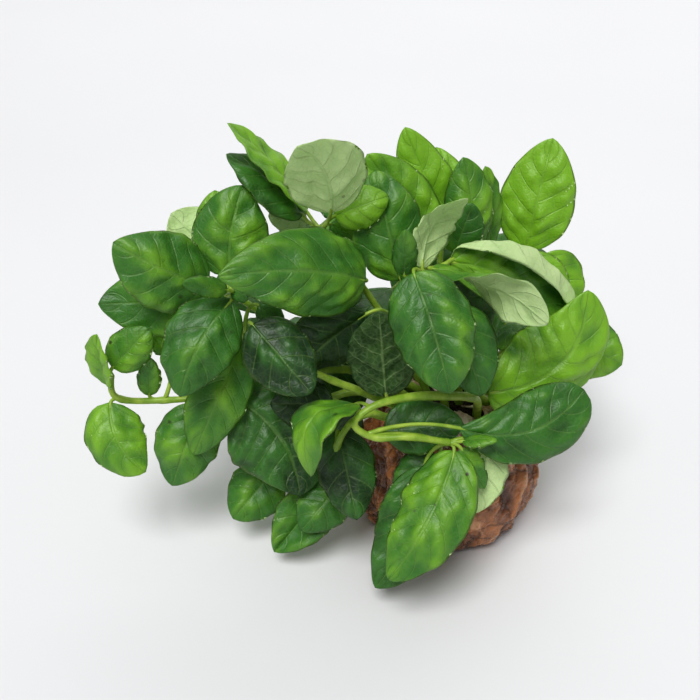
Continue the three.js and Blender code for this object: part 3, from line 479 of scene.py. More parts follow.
def room(blade, placed, stems):
    """How far the blade is from what is already placed, beyond the clearance that each thing asks."""
    x, y, z = blade["samples"].T
    low = z < WRAP_RIM_HEIGHT + WRAP_CLEARANCE
    beside = np.hypot(x[low], y[low]) - wrap_radius(z[low]) - WRAP_CLEARANCE
    rooms = [z.min() - FLOOR_CLEARANCE, *beside]
    stalk = blade["stalk_samples"]
    for other in placed:
        centres = np.linalg.norm(blade["centre"] - other["centre"])
        if centres - blade["radius"] - other["radius"] > LEAF_CLEARANCE:
            continue
        close = np.linalg.norm(other["base"] - blade["base"]) < PAIR_REACH
        near = PAIR_FREE if close else SINGLE_FREE
        mine = far_from(blade["samples"], blade["base"], near)
        theirs = far_from(other["samples"], other["base"], near)
        rooms.append(least_distance(mine, theirs) - LEAF_CLEARANCE)
        if other["stem"] != blade["stem"]:
            rooms.append(least_distance(mine, other["stalk_samples"]) - LEAF_CLEARANCE)
            rooms.append(least_distance(stalk, theirs) - LEAF_CLEARANCE)
            rooms.append(least_distance(stalk, other["stalk_samples"]) - PETIOLE_CLEARANCE)
    for name, stem in stems.items():
        own = name == blade["stem"]
        mine = far_from(blade["samples"], blade["base"], PAIR_FREE if own else 0)
        rooms.append(least_distance(mine, stem["samples"]) - STEM_CLEARANCE)
        if not own:
            rooms.append(least_distance(stalk, stem["samples"]) - STEM_CLEARANCE)
    return min(rooms)


def set_leaf(leaf, base, tip, towards, joint):
    """A leaf set between two points, with its petiole and the points that it is kept clear by."""
    blade = lay_out({**LEAF_DEFAULTS, **leaf}, base, tip, towards)
    midrib = blade["midrib"]
    approach = base - PETIOLE_APPROACH * np.linalg.norm(joint - base) * midrib.tangent(CURVE_END_INSET)
    blade["stalk"] = bent(joint, approach, base, midrib.place(PETIOLE_OVERLAP))
    count = math.ceil(blade["stalk"].length() / PETIOLE_SAMPLE_STEP)
    blade["stalk_samples"] = np.array([blade["stalk"].place(k / count) for k in range(1, count + 1)])
    blade["samples"] = blade_samples(blade)
    blade["centre"] = (blade["samples"].min(axis=0) + blade["samples"].max(axis=0)) / 2
    blade["radius"] = np.linalg.norm(blade["samples"] - blade["centre"], axis=1).max()
    return blade


def roomiest(trials, measure):
    """The first trial that has room, or else the one that comes nearest to it."""
    best = None
    for trial in trials:
        trial["room"] = measure(trial)
        best = trial if best is None or trial["room"] > best["room"] else best
        if best["room"] > 0:
            break
    return best


def slid_leaves(leaf, stem):
    """The leaf as listed, and then slid further and further to and fro along its sight lines."""
    shares = [leaf["start"]] if "start" in leaf else stem["nodes"]
    joints = [stem["curve"].at(share) for share in shares]
    for attempt in range(SLIDE_TRIES + 1):
        slide = SLIDE_STEP * math.ceil(attempt / 2) * (1 if attempt % 2 else -1)
        base = seen((*leaf["base"][:2], leaf["base"][2] + slide * BASE_SLIDE))
        tip = seen((*leaf["tip"][:2], leaf["tip"][2] + slide))
        joint = min(joints, key=lambda point: np.linalg.norm(point - base))
        yield set_leaf(leaf, base, tip, VIEW_EYE, joint)


def place_seen_leaves(stems):
    """Each leaf keeps its place in the front view and slides along its sight lines until it is clear."""
    placed = []
    for stem, leaves in LEAVES.items():
        for name, words in leaves.items():
            leaf = dict(words, name=name, stem=stem)
            trials = slid_leaves(leaf, stems[stem])
            placed.append(roomiest(trials, lambda blade: room(blade, placed, stems)))
    return placed


DRAW_FACTOR = 1664525
DRAW_STEP = 1013904223
DRAW_RANGE = 2 ** 32


def drawer(seed):
    """A repeatable stream of numbers from 0 to 1."""
    state = seed

    def draw():
        nonlocal state
        state = (state * DRAW_FACTOR + DRAW_STEP) % DRAW_RANGE
        return state / DRAW_RANGE

    return draw


def between(draw, limits):
    return limits[0] + (limits[1] - limits[0]) * draw()


def in_open_sight(blade):
    columns, rows = shown(blade["samples"])
    return any((np.hypot(columns - column, rows - row) < radius).any() for column, row, radius in OPEN_SIGHTS)


def back_leaf(draw, name, level, turn, attempt, joint, outward):
    """A leaf of a stem at the back, drawn round the way that its node points it."""
    spread = BACK_SPREAD + BACK_SPREAD_STEP * attempt
    azimuth = math.radians(turn + BACK_TWIST + between(draw, (-spread, spread))) + outward
    pitch = math.radians(BACK_PITCH - between(draw, (0, spread)))
    length = BACK_LEAF_LENGTH[level] * between(draw, BACK_LENGTH_SHARES)
    flat = math.cos(pitch)
    way = np.array([math.cos(azimuth) * flat, math.sin(azimuth) * flat, math.sin(pitch)])
    base = joint + way * BACK_PETIOLE * between(draw, BACK_PETIOLE_SHARES)
    leaf = dict(
        name=f"{name}_{level}_{turn}", stem=name, width=length * BACK_LEAF_SLENDERNESS,
        roll=between(draw, BACK_ROLLS), arch=between(draw, BACK_ARCHES), cup=between(draw, BACK_CUPS),
    )
    return set_leaf(leaf, base, base + way * length, base + HIGH_ABOVE, joint)


def grow_back_leaves(placed, stems):
    """A pair of leaves at each node of the stems at the back, each drawn again until it is clear."""
    draw = drawer(BACK_SEED)
    for name in BACK_STEMS:
        for level, share in enumerate(BACK_NODES):
            joint = stems[name]["curve"].at(share)
            for turn in (PAIR_TURN * level, PAIR_TURN * level + 180):
                trials = (
                    back_leaf(draw, name, level, turn, attempt, joint, stems[name]["outward"])
                    for attempt in range(BACK_TRIES)
                )
                best = roomiest(
                    trials, lambda blade: -math.inf if in_open_sight(blade) else room(blade, placed, stems),
                )
                if best["room"] > 0:
                    placed.append(best)


# ---- The wrap's form ----

PROFILE_STEPS = 60


def smooth(value, low, high):
    share = np.clip((value - low) / (high - low), 0, 1)
    return share * share * (3 - 2 * share)


def wrap_profile():
    """Radii and heights of the wrap's outside, from the foot to the rim."""
    knots = np.array([
        (WRAP_FOOT_RADIUS, 0), (WRAP_HEEL_RADIUS, WRAP_HEEL_HEIGHT),
        (WRAP_BELLY_RADIUS, WRAP_BELLY_HEIGHT), (WRAP_SHOULDER_RADIUS, WRAP_SHOULDER_HEIGHT),
        (WRAP_NECK_RADIUS, WRAP_NECK_HEIGHT), (WRAP_RIM_RADIUS, WRAP_RIM_HEIGHT),
    ], float)
    points = []
    for step in range(PROFILE_STEPS + 1):
        p = (len(knots) - 1) * step / PROFILE_STEPS
        index = min(int(p), len(knots) - 1)
        t = p - index
        p0, p1 = knots[max(index - 1, 0)], knots[index]
        p2, p3 = knots[min(index + 1, len(knots) - 1)], knots[min(index + 2, len(knots) - 1)]
        v0, v1 = (p2 - p0) / 2, (p3 - p1) / 2
        cubic = 2 * (p1 - p2) + v0 + v1
        square = 3 * (p2 - p1) - 2 * v0 - v1
        points.append(cubic * t ** 3 + square * t * t + v0 * t + p1)
    return np.array(points).T


PROFILE_RADII, PROFILE_HEIGHTS = wrap_profile()


def wrap_radius(height):
    return np.interp(height, PROFILE_HEIGHTS, PROFILE_RADII)


def crumple(angle, height):
    """How far the film stands out of its mean radius: pleats at the neck, slanting crumples below."""
    neck = smooth(height, PLEATS_START, WRAP_NECK_HEIGHT)
    belly = smooth(height, CRUMPLES_START, CRUMPLES_FULL) * (1 - CRUMPLES_LOST_AT_NECK * neck)
    pleats = np.sin(NECK_PLEATS * angle + PLEAT_UNEVENNESS * np.sin(2 * angle))
    crumples = sum(
        share * np.sin(waves * angle + slant * height + phase) for waves, slant, phase, share in CRUMPLES
    )
    return NECK_PLEAT_DEPTH * neck * pleats + CRUMPLE_DEPTH * belly * crumples


# ---- Meshes ----

STEM_SLOT, UPPER_SLOT, UNDER_SLOT = 0, 1, 2
# The painted light and shade, in the colouring of leaves and film, of what is neither raised nor sunk: raised
# parts are painted lighter, sunken parts darker.
MEAN_PAINTED_LIGHT = 0.5


class Shape:
    """The faces of one piece, with each point's place and size on its leaf or film, its tint, and the light
    and shade painted on it from its relief.
    """

    def __init__(self):
        self.points, self.places, self.sizes, self.tints, self.painted_lights = [], [], [], [], []
        self.faces, self.slots = [], []
        self.count = 0

    def add(self, points, places, sizes, tint, painted_light):
        """Adds points and returns the number of the first."""
        first = self.count
        self.points.append(points)
        self.places.append(places)
        self.sizes.append(sizes)
        self.tints.append(np.broadcast_to(tint, (len(points), 4)))
        self.painted_lights.append(painted_light)
        self.count += len(points)
        return first

    def join(self, faces, slot):
        self.faces.extend(faces)
        self.slots.extend([slot] * len(faces))

    def join_rings(self, first, columns, slots):
        """Closes a body of rings, with a slot for each band; its two poles follow its rings."""
        index = first + np.arange((len(slots) + 1) * columns).reshape(-1, columns)
        for row, slot in enumerate(slots):
            self.join(grid_quads(index[row:row + 2], wrapped=True), slot)
        self.join(fan(index[-1, -1] + 1, index[0][::-1], wrapped=True), slots[0])
        self.join(fan(index[-1, -1] + 2, index[-1], wrapped=True), slots[-1])

    def piece(self, name, materials, node):
        """The finished object, in metres, in the place of its CAD node."""
        mesh = bpy.data.meshes.new(name)
        mesh.from_pydata((np.concatenate(self.points) * MM).tolist(), [], self.faces)
        corners = np.zeros(len(mesh.loops), int)
        mesh.loops.foreach_get("vertex_index", corners)
        for layer, values in (("place", self.places), ("size", self.sizes)):
            uv = mesh.uv_layers.new(name=layer)
            uv.data.foreach_set("uv", np.concatenate(values)[corners].astype(np.float32).ravel())
        tint = mesh.color_attributes.new("tint", "FLOAT_COLOR", "POINT")
        tint.data.foreach_set("color", np.concatenate(self.tints).astype(np.float32).ravel())
        painted_light = mesh.attributes.new("painted_light", "FLOAT", "POINT")
        painted_light.data.foreach_set("value", np.concatenate(self.painted_lights).astype(np.float32))
        mesh.polygons.foreach_set("material_index", self.slots)
        mesh.polygons.foreach_set("use_smooth", [True] * len(mesh.polygons))
        for material in materials:
            mesh.materials.append(material)
        mesh.update()
        made = bpy.data.objects.new(name, mesh)
        bpy.context.scene.collection.objects.link(made)
        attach(made, "root")
        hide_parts(node)


def grid_quads(index, wrapped=False):
    """Quads between rows of point numbers, facing up where the columns and rows run right and up."""
    after = np.roll(index, -1, axis=1) if wrapped else index[:, 1:]
    before = index if wrapped else index[:, :-1]
    quads = np.stack([before[:-1], after[:-1], after[1:], before[1:]], axis=-1)
    return quads.reshape(-1, 4).tolist()


def fan(pole, ring, wrapped=False):
    """Triangles from a pole to a row of points."""
    ends = np.roll(ring, -1) if wrapped else ring[1:]
    starts = ring if wrapped else ring[:-1]
    return [[int(pole), int(a), int(b)] for a, b in zip(starts, ends)]


def add_tube(shape, points, radii, sides, tone, squareness=0.0):
    """A closed round tube through points, with a radius at each."""
    tangents = unit(np.gradient(points, axis=0))
    side = unit(np.cross(tangents[0], [0.31, 0.95, 0.02]))
    rings = []
    angles = np.arange(sides) * 2 * math.pi / sides
    section = 1 + squareness * np.cos(4 * angles)
    for point, tangent, radius in zip(points, tangents, radii):
        side = unit(side - (side @ tangent) * tangent)
        other = np.cross(tangent, side)
        around = np.outer(np.cos(angles), side) + np.outer(np.sin(angles), other)
        rings.append(point + radius * section[:, None] * around)
    along = np.concatenate([[0], np.cumsum(np.linalg.norm(np.diff(points, axis=0), axis=1))])
    places = np.stack(np.meshgrid(angles / (2 * math.pi), along / along[-1]), axis=-1).reshape(-1, 2)
    sizes = np.stack(np.meshgrid(angles * radii[0] / SIZE_UNIT, along / SIZE_UNIT), axis=-1).reshape(-1, 2)
    all_points = np.concatenate([*rings, points[:1], points[-1:]])
    places = np.concatenate([places, [[0, 0], [0, 1]]])
    sizes = np.concatenate([sizes, sizes[:1], sizes[-1:]])
    first = shape.add(all_points, places, sizes, (tone, 0.2, 0.5, 1.0), np.zeros(len(all_points)))
    shape.join_rings(first, sides, [STEM_SLOT] * (len(rings) - 1))


# ---- Leaves ----

SIZE_UNIT = 10.0
VEIN_SPACING = 10
VEIN_PAIRS_LEAST = 4
VEIN_PAIRS_MOST = 7
VEIN_RISE = 0.26
VEIN_BEND = 1.25
VEIN_SIDE_SHIFT = 0.3
BLADE_ROW_STEP = 1.5
BLADE_COLUMN_STEP = 1.4
# The dents' usual size on a blade, and how dents, ripples and puffs add up.
DENT_WIDTH = 19
DENT_LENGTH = 16
DENT_SHARE = 1.05
RIPPLE_RATE = 2.7
RIPPLE_SHARE = 0.42
VEIN_WANDER = 0.35
PUFF_FULLNESS = 0.75
# PUFF_SHADE is how strongly the puffs are painted lighter on top and darker in the sunken veins.
PUFF_SHADE = 0.3
QUILT_SHARE = 0.062
QUILT_MOST = 2.3
MARGIN_WAVE = 0.8
MARGIN_DROOP = 1.9
MIDRIB_WIDTH = 0.06
MIDRIB_GROOVE = 0.42
MIDRIB_RIDGE = 0.55
# Leaf name to tone, from 0, deep green, to 1, bright yellow-green, and to how spotted it is. The tones are
# partly painted light: the deep tones of the inner leaves i1 to i6, h19 and e7 paint the shade inside the
# plant, and the brightest tones of the backlit top leaves h8, h10 and h11 paint part of their glow.
LEAF_TONES_WITH_PAINTED_LIGHT = {
    "a1": (0.85, 0.2), "a2": (0.35, 0.3), "a4": (1.0, 0.4), "a5": (0.85, 0.2), "b": (0.55, 0.3),
    "c1": (0.6, 0.4), "c2": (0.7, 0.2), "c3": (0.7, 0.2), "c4": (0.55, 0.7), "c5": (0.55, 0.6),
    "c6": (0.55, 0.3), "d1": (0.4, 0.4), "d2": (0.6, 0.3), "d3a": (0.6, 1.0), "d3b": (0.8, 0.3),
    "d3c": (0.7, 0.3), "d3d": (0.75, 0.4), "d4": (0.55, 0.8), "d6": (0.7, 0.2), "e1": (0.25, 0.4),
    "e2": (0.5, 0.3), "e3": (0.55, 0.3), "e4": (0.4, 0.3), "e5": (0.15, 0.2), "e6": (0.7, 0.8),
    "e7": (0.1, 0.2), "f1": (0.66, 0.7), "f2": (0.35, 0.4), "f3": (0.35, 0.2), "f4": (0.3, 0.3),
    "f5": (0.38, 0.2), "f6": (0.6, 0.2), "f7": (0.75, 0.2), "f8": (0.7, 0.0), "g1": (0.85, 0.3),
    "h1": (0.5, 0.4), "h2": (0.35, 0.3), "h3": (0.7, 0.2), "h4": (0.85, 0.2), "h5": (0.7, 0.2),
    "h6": (0.6, 0.4), "h7": (0.85, 0.1), "h8": (1.0, 0.4), "h9": (0.6, 0.1), "h10": (1.0, 0.2),
    "h11": (0.95, 0.2), "h12": (0.65, 0.2), "h13": (0.85, 0.2), "h15": (0.55, 0.3),
    "h16": (0.5, 0.2), "h17": (0.9, 0.1), "h18": (0.45, 0.2), "h19": (0.15, 0.2),
    "i1": (0.0, 0.5), "i2": (0.0, 0.3), "i3": (0.1, 0.6), "i4": (0.3, 0.3), "i5": (0.0, 0.3),
    "i6": (0.0, 0.3),
}
BACK_LOOK = (0.45, 0.3)


def vein_phase(along, over, pairs):
    """Whole numbers lie on the lateral veins, which rise from the midrib towards the tip."""
    side = np.where(over > 0, VEIN_SIDE_SHIFT, 0.0)
    return (along - VEIN_RISE * np.abs(over) ** VEIN_BEND) * pairs + side


def vein_pairs(length):
    return int(np.clip(round(length / VEIN_SPACING), VEIN_PAIRS_LEAST, VEIN_PAIRS_MOST))


def quilting(blade, along, over, draw_shift):
    """Heights of the blade's puffs between its veins and of its softer dents, and the light and shade painted
    from them: lighter on the puffs, darker in the hollows.
    """
    away = np.clip(np.abs(over) * 4, 0, 1) * (1 - np.abs(over) ** 5)
    ends = np.clip(np.sin(math.pi * np.clip(along, 0, 1)) * 1.6, 0, 1)
    across = over * outline(along, blade["widest"]) * blade["width"]
    down = along * blade["length"] / DENT_LENGTH
    places = [Vector((reach / DENT_WIDTH + draw_shift, down, draw_shift)) for reach in across]
    dents = np.array([noise.noise(place) for place in places])
    ripples = np.array([noise.noise(RIPPLE_RATE * place) for place in places])
    phase = vein_phase(along, over, vein_pairs(blade["length"])) + VEIN_WANDER * dents
    puff = np.abs(np.sin(math.pi * phase)) ** PUFF_FULLNESS - 0.5
    soft = DENT_SHARE * dents + RIPPLE_SHARE * ripples
    return (puff * (0.6 + 0.9 * dents) * away + soft) * ends, PUFF_SHADE * puff * away + soft


def blade_grid(blade):
    rows = max(8, round(blade["length"] / BLADE_ROW_STEP))
    columns = 2 * max(4, round(blade["width"] / BLADE_COLUMN_STEP / 2))
    steps = np.linspace(0, 1, rows + 1)[1:-1]
    along = 0.25 * (1 - np.cos(math.pi * steps)) / 2 + 0.75 * steps
    across = np.linspace(-1, 1, columns + 1)
    return along, np.sign(across) * np.abs(across) ** 1.2


def add_blade(shape, blade, seed):
    """A closed blade, thick at its midrib and thin at its margin, puffed up between sunken veins."""
    along, over = blade_grid(blade)
    draw = drawer(seed)
    shift = 10 * draw()
    waves = 3 + 2 * draw()
    quilt_height = min(QUILT_SHARE * blade["width"], QUILT_MOST)
    thickness = BLADE_THICKNESS * (1 - over ** 2) ** 0.5
    inner = slice(1, len(over) - 1)
    upper, lower, painted_lights, places, sizes = [], [], [], [], []
    for share in along:
        points, normals = blade_row(blade, share, over)
        quilt, shade = quilting(blade, share, over, shift)
        wave = np.sin(2 * math.pi * (waves * share + shift) + np.sign(over))
        wave = MARGIN_WAVE * wave * np.abs(over) ** 5 - MARGIN_DROOP * np.abs(over) ** 3
        wave *= math.sin(math.pi * share)
        middle = points + normals * (quilt_height * quilt + wave)[:, None]
        rib = np.exp(-(over / MIDRIB_WIDTH) ** 2) * (1 - share) ** 0.5
        upper.append(middle + normals * (thickness / 2 - MIDRIB_GROOVE * rib)[:, None])
        lower.append((middle - normals * (thickness / 2 + MIDRIB_RIDGE * rib)[:, None])[inner])
        painted_lights.append(shade + MEAN_PAINTED_LIGHT)
        places.append(np.stack([over / 2 + 0.5, np.full(len(over), share)], axis=-1))
        reach = over * outline(share, blade["widest"]) * blade["width"] / 2
        down = np.full(len(over), share * blade["length"])
        sizes.append(np.stack([reach / SIZE_UNIT + shift, down / SIZE_UNIT], axis=-1))
    tone, spots = LEAF_TONES_WITH_PAINTED_LIGHT.get(blade["name"], BACK_LOOK)
    tint = (tone, spots, vein_pairs(blade["length"]) / 10, 1.0)
    poles = np.array([blade["midrib"].place(0.0), blade["midrib"].place(1.0)])
    pole_places = np.array([[0.5, 0.0], [0.5, 1.0]])
    pole_sizes = np.array([[shift, 0.0], [shift, blade["length"] / SIZE_UNIT]])
    first = shape.add(
        np.concatenate(upper + lower + [poles]),
        np.concatenate(places + [place[inner] for place in places] + [pole_places]),
        np.concatenate(sizes + [size[inner] for size in sizes] + [pole_sizes]),
        tint,
        np.concatenate(painted_lights + [painted_light[inner] for painted_light in painted_lights] + [[MEAN_PAINTED_LIGHT] * 2]),
    )
    rows, columns = len(along), len(over)
    top = first + np.arange(rows * columns).reshape(rows, columns)
    bottom = top.copy()
    bottom[:, inner] = first + rows * columns + np.arange(rows * (columns - 2)).reshape(rows, columns - 2)
    base = first + rows * (2 * columns - 2)
    shape.join(grid_quads(top), UPPER_SLOT)
    shape.join(fan(base, top[0][::-1]), UPPER_SLOT)
    shape.join(fan(base + 1, top[-1]), UPPER_SLOT)
    shape.join(grid_quads(bottom[:, ::-1]), UNDER_SLOT)
    shape.join(fan(base, bottom[0]), UNDER_SLOT)
    shape.join(fan(base + 1, bottom[-1][::-1]), UNDER_SLOT)


# ---- Stems and petioles ----

STEM_STEP = 2.5
NODE_SWELLING = 0.35
NODE_REACH = 2.2
STEM_SIDES = 12
STEM_SQUARENESS = 0.05
PETIOLE_SIDES = 8
STEM_TONE = 0.5


def add_petiole(shape, blade):
    """The petiole narrows from the stem to the blade and ends under its midrib."""
    stalk = blade["stalk"]
    count = max(8, math.ceil(stalk.length() / 2))
    shares = np.linspace(0, 1, count + 1)
    _, normals = blade_row(blade, 0.05, np.array([0.0]))
    narrowing = 0.3 * smooth(shares, 0, 0.4) + 0.55 * smooth(shares, 0.75, 1)
    radii = PETIOLE_RADIUS * (1.25 - narrowing)
    sunk = smooth(shares, 0.6, 1) * (radii * 0.6 + 0.2)
    points = np.array([stalk.place(share) for share in shares]) - sunk[:, None] * normals[0]
    add_tube(shape, points, radii, PETIOLE_SIDES, LEAF_TONES_WITH_PAINTED_LIGHT.get(blade["name"], BACK_LOOK)[0])


def add_stem(shape, stem):
    """The stem narrows towards its top and swells a little at its leaf nodes."""
    curve = stem["curve"]
    count = math.ceil(curve.length() / STEM_STEP)
    shares = np.linspace(0, 1, count + 1)
    rise = (STEM_SINK + SOIL_MOUND) / curve.length()
    radii = STEM_RADIUS + (STEM_FOOT_RADIUS - STEM_RADIUS) * (1 - smooth(shares, 0.5 * rise, 1.5 * rise))
    radii -= (STEM_RADIUS - SHOOT_RADIUS) * smooth(shares, SHOOT_START - 0.15, SHOOT_START + 0.1)
    for node in stem["nodes"]:
        radii += NODE_SWELLING * np.exp(-(((shares - node) * curve.length()) / NODE_REACH) ** 2)
    radii[-1] *= 0.6
    add_tube(shape, curve.spaced(count), radii, STEM_SIDES, STEM_TONE, STEM_SQUARENESS)


def leafy_stem(name, stem, blades, materials):
    shape = Shape()
    add_stem(shape, stem)
    for number, blade in enumerate(blades):
        add_petiole(shape, blade)
        add_blade(shape, blade, 1000 * len(name) + 37 * number + round(blade["length"] * 100))
    shape.piece(f"{name}_stem_and_leaves", materials, f"leafy_stem_{name}")


# ---- Wrap and root ball ----

BODY_TINT = (0.5, 0.5, 0.5, 1.0)
FILM_COLUMNS = 380
FILM_ROW_STEP = 0.8
FILM_INNER_STEP = 1.6
# Creases of the film: their width, their height (a fold below 0), and how thin their line is.
CREASES = [(24.0, 2.0, 1.0), (15.0, -1.5, 1.0), (10.0, 1.3, 1.6), (6.0, 0.75, 2.0), (3.6, -0.4, 2.0)]
CREASE_BEND = 0.6
CREASE_REACH = 2.2
CREASE_MEAN = 0.4
CREASE_SEED = 3
CREASE_STRETCH = 0.8
CREASES_FULL = 7
CREASES_SOFTEN = 64
CREASES_LOST_AT_RIM = 0.4
RIM_DROP = 3.0
RIM_DROP_START = 60
# FILM_SHADE is how strongly the creases paint the film: lighter on ridges, darker in folds.
FILM_SHADE = 0.3

# The noise that bends the creases is drawn from a seed, so that each run gives the same film.
noise.seed_set(CREASE_SEED)


def crease(point):
    """Sharp ridges and folds, of several widths, where smooth noise crosses nought."""
    height = 0.0
    for size, amount, thinness in CREASES:
        bend = noise.noise_vector(point / (size * 1.7)) * CREASE_BEND
        near = max(0.0, 1.0 - CREASE_REACH * abs(noise.noise(point / size + bend)))
        height += amount * (near ** thinness - CREASE_MEAN)
    return height


def film_ring(height, inset):
    """One level ring of the film, with the light and shade painted on its points from the creases."""
    angles = np.arange(FILM_COLUMNS) * 2 * math.pi / FILM_COLUMNS
    radius = wrap_radius(height) + crumple(angles, height)
    at_rim = float(smooth(height, CREASES_SOFTEN, WRAP_RIM_HEIGHT))
    fade = float(smooth(height, 0.0, CREASES_FULL)) * (1 - CREASES_LOST_AT_RIM * at_rim)
    across, down = radius * np.cos(angles), radius * np.sin(angles)
    raised = np.array([crease(Vector((x, y, height * CREASE_STRETCH))) for x, y in zip(across, down)])
    radius = radius + fade * raised - inset
    low = np.array([0.5 + noise.noise(Vector((3 * math.cos(a), 3 * math.sin(a), 7.0))) for a in angles])
    drop = RIM_DROP * float(smooth(height, RIM_DROP_START, WRAP_RIM_HEIGHT)) * np.clip(low, 0, 1)
    points = np.stack([radius * np.cos(angles), radius * np.sin(angles), height - drop], axis=-1)
    return points, raised * FILM_SHADE + MEAN_PAINTED_LIGHT


def turned_body(shape, rings, bottom, top, slots):
    """A closed body of rings from its lower pole to its upper pole. slots gives each band's material."""
    points = np.concatenate([ring for ring, _ in rings])
    painted_lights = np.concatenate([*(painted_light for _, painted_light in rings), [MEAN_PAINTED_LIGHT] * 2])
    angles = np.arctan2(points[:, 1], points[:, 0])
    places = np.stack([angles / (2 * math.pi), points[:, 2] / WRAP_RIM_HEIGHT], axis=-1)
    places = np.concatenate([places, [[0, 0], [0, 1]]])
    first = shape.add(np.concatenate([points, [bottom, top]]), places, 8 * places, BODY_TINT, painted_lights)
    shape.join_rings(first, len(rings[0][0]), slots)


def flat_ring(ring, share, height):
    points, painted_light = ring
    return np.stack([points[:, 0] * share, points[:, 1] * share, 0 * painted_light + height], axis=-1), painted_light


# The film's mouth is gathered in over the soil, and leaves the feet of the stems free.
MOUTH_ROWS = 26
MOUTH_LOW = 66.6
MOUTH_LEAST = 7.0
MOUTH_FILM = 0.5
MOUTH_RUFFLE = 1.5
# MOUTH_SHADE is how strongly the mouth's creases paint light and shade into its colour.
MOUTH_SHADE = 0.25
# How much closer the mouth's creases lie than the sides', and where in the noise they are drawn.
MOUTH_CREASES = 1.7
MOUTH_DRAW = 31
STEM_FREE = 3.6


def mouth_reach(angle, feet):
    """The radius that the gathered film reaches in to at an angle, past the last stem on that line."""
    least = MOUTH_LEAST
    for x, y in feet:
        along = x * math.cos(angle) + y * math.sin(angle)
        beside = abs(y * math.cos(angle) - x * math.sin(angle))
        if along > 0 and beside < STEM_FREE:
            least = max(least, along + math.sqrt(STEM_FREE ** 2 - beside ** 2))
    return least


def mouth_rings(rim, feet):
    """Rings of the gathered film from the rim in over the soil and back under itself."""
    points, _ = rim
    angles = np.arctan2(points[:, 1], points[:, 0])
    start = np.hypot(points[:, 0], points[:, 1])
    reach = np.array([mouth_reach(angle, feet) for angle in angles])
    top, under = [], []
    for share in np.linspace(0, 1, MOUTH_ROWS + 1)[1:]:
        radius = start + (reach - start) * share
        x, y = radius * np.cos(angles), radius * np.sin(angles)
        places = [Vector((MOUTH_CREASES * a, MOUTH_CREASES * b, MOUTH_DRAW)) for a, b in zip(x, y)]
        creased = np.array([crease(place) for place in places])
        level = points[:, 2] + (MOUTH_LOW - points[:, 2]) * float(smooth(share, 0, 0.7))
        level = level + np.clip(0.6 * creased, -MOUTH_RUFFLE, MOUTH_RUFFLE) * float(smooth(share, 0, 0.3))
        painted_light = creased * MOUTH_SHADE + MEAN_PAINTED_LIGHT
        top.append((np.stack([x, y, level], axis=-1), painted_light))
        if share < 0.95:
            under.append((np.stack([x, y, level - MOUTH_FILM], axis=-1), painted_light))
    return top + under[::-1]


def make_wrap(materials, feet):
    """The film: its foot, its outside, its mouth gathered over the soil, and its inside to the floor."""
    foot = film_ring(0.0, 0.0)
    heights = np.arange(0.0, WRAP_RIM_HEIGHT + 0.01, FILM_ROW_STEP)
    outside = [film_ring(height, 0.0) for height in heights]
    rim = film_ring(WRAP_RIM_HEIGHT - 0.3, WRAP_WALL)
    inner_heights = np.arange(MOUTH_LOW - 2.2, WRAP_WALL, -FILM_INNER_STEP)
    inside = [film_ring(height, WRAP_WALL) for height in (*inner_heights, WRAP_WALL)]
    inside = [rim] + mouth_rings(rim, feet) + inside
    rings = [flat_ring(foot, 0.5, 0.0)] + outside + inside
    slots = [0] * len(outside) + [1] * len(inside)
    shape = Shape()
    turned_body(shape, rings, (0, 0, 0), (0, 0, WRAP_WALL), slots)
    shape.piece("film_wrap", materials, "wrap")


SOIL_RINGS = [0.96, 0.9, 0.82, 0.74, 0.66, 0.58, 0.5, 0.42, 0.34, 0.26, 0.18, 0.1, 0.05]
SOIL_SEED = 5
SOIL_LUMP = 3.1
SOIL_GRAIN = 1.3
SOIL_ROUGHNESS = 0.9
SOIL_SUNK = 0.6
SOIL_REACH = 30
ROOT_BALL_ROWS = 30
PEAT_INSET = 0.8
CRUMB_COUNT = 420
CRUMB_REACH = 27
CRUMB_LEAST = 0.4
CRUMB_SPREAD = 1.1
CRUMB_SIDES = 6


def soil_height(x, y, share):
    coarse = noise.noise(Vector((x / SOIL_LUMP, y / SOIL_LUMP, 2.0)))
    fine = noise.noise(Vector((x / SOIL_GRAIN, y / SOIL_GRAIN, 5.0)))
    mound = SOIL_MOUND * float(smooth(1 - share, 0.0, 0.5))
    return SOIL_TOP + mound + SOIL_ROUGHNESS * (coarse + 0.6 * fine) - SOIL_SUNK


def make_root_ball(materials):
    """The root ball: its sides inside the film, and a rough mounded top with loose crumbs."""
    foot_height = WRAP_WALL + TOUCH_GAP
    heights = np.linspace(foot_height, SOIL_TOP - TOUCH_GAP, ROOT_BALL_ROWS)
    sides = [film_ring(height, WRAP_WALL + PEAT_INSET) for height in heights]
    rim = sides[-1]
    rings = [flat_ring(sides[0], 0.5, foot_height)] + sides
    for share in SOIL_RINGS:
        points, painted_light = flat_ring(rim, share, 0.0)
        points[:, 2] = [soil_height(x, y, share) for x, y, _ in points]
        rings.append((points, painted_light))
    shape = Shape()
    turned_body(shape, rings, (0, 0, foot_height), (0, 0, soil_height(0, 0, 0)), [0] * (len(rings) - 1))
    draw = drawer(SOIL_SEED)
    for _ in range(CRUMB_COUNT):
        angle, reach = 2 * math.pi * draw(), CRUMB_REACH * math.sqrt(draw())
        size = CRUMB_LEAST + CRUMB_SPREAD * draw() ** 2
        add_crumb(shape, reach * math.cos(angle), reach * math.sin(angle), size, draw)
    shape.piece("root_ball_peat", materials, "root_ball")


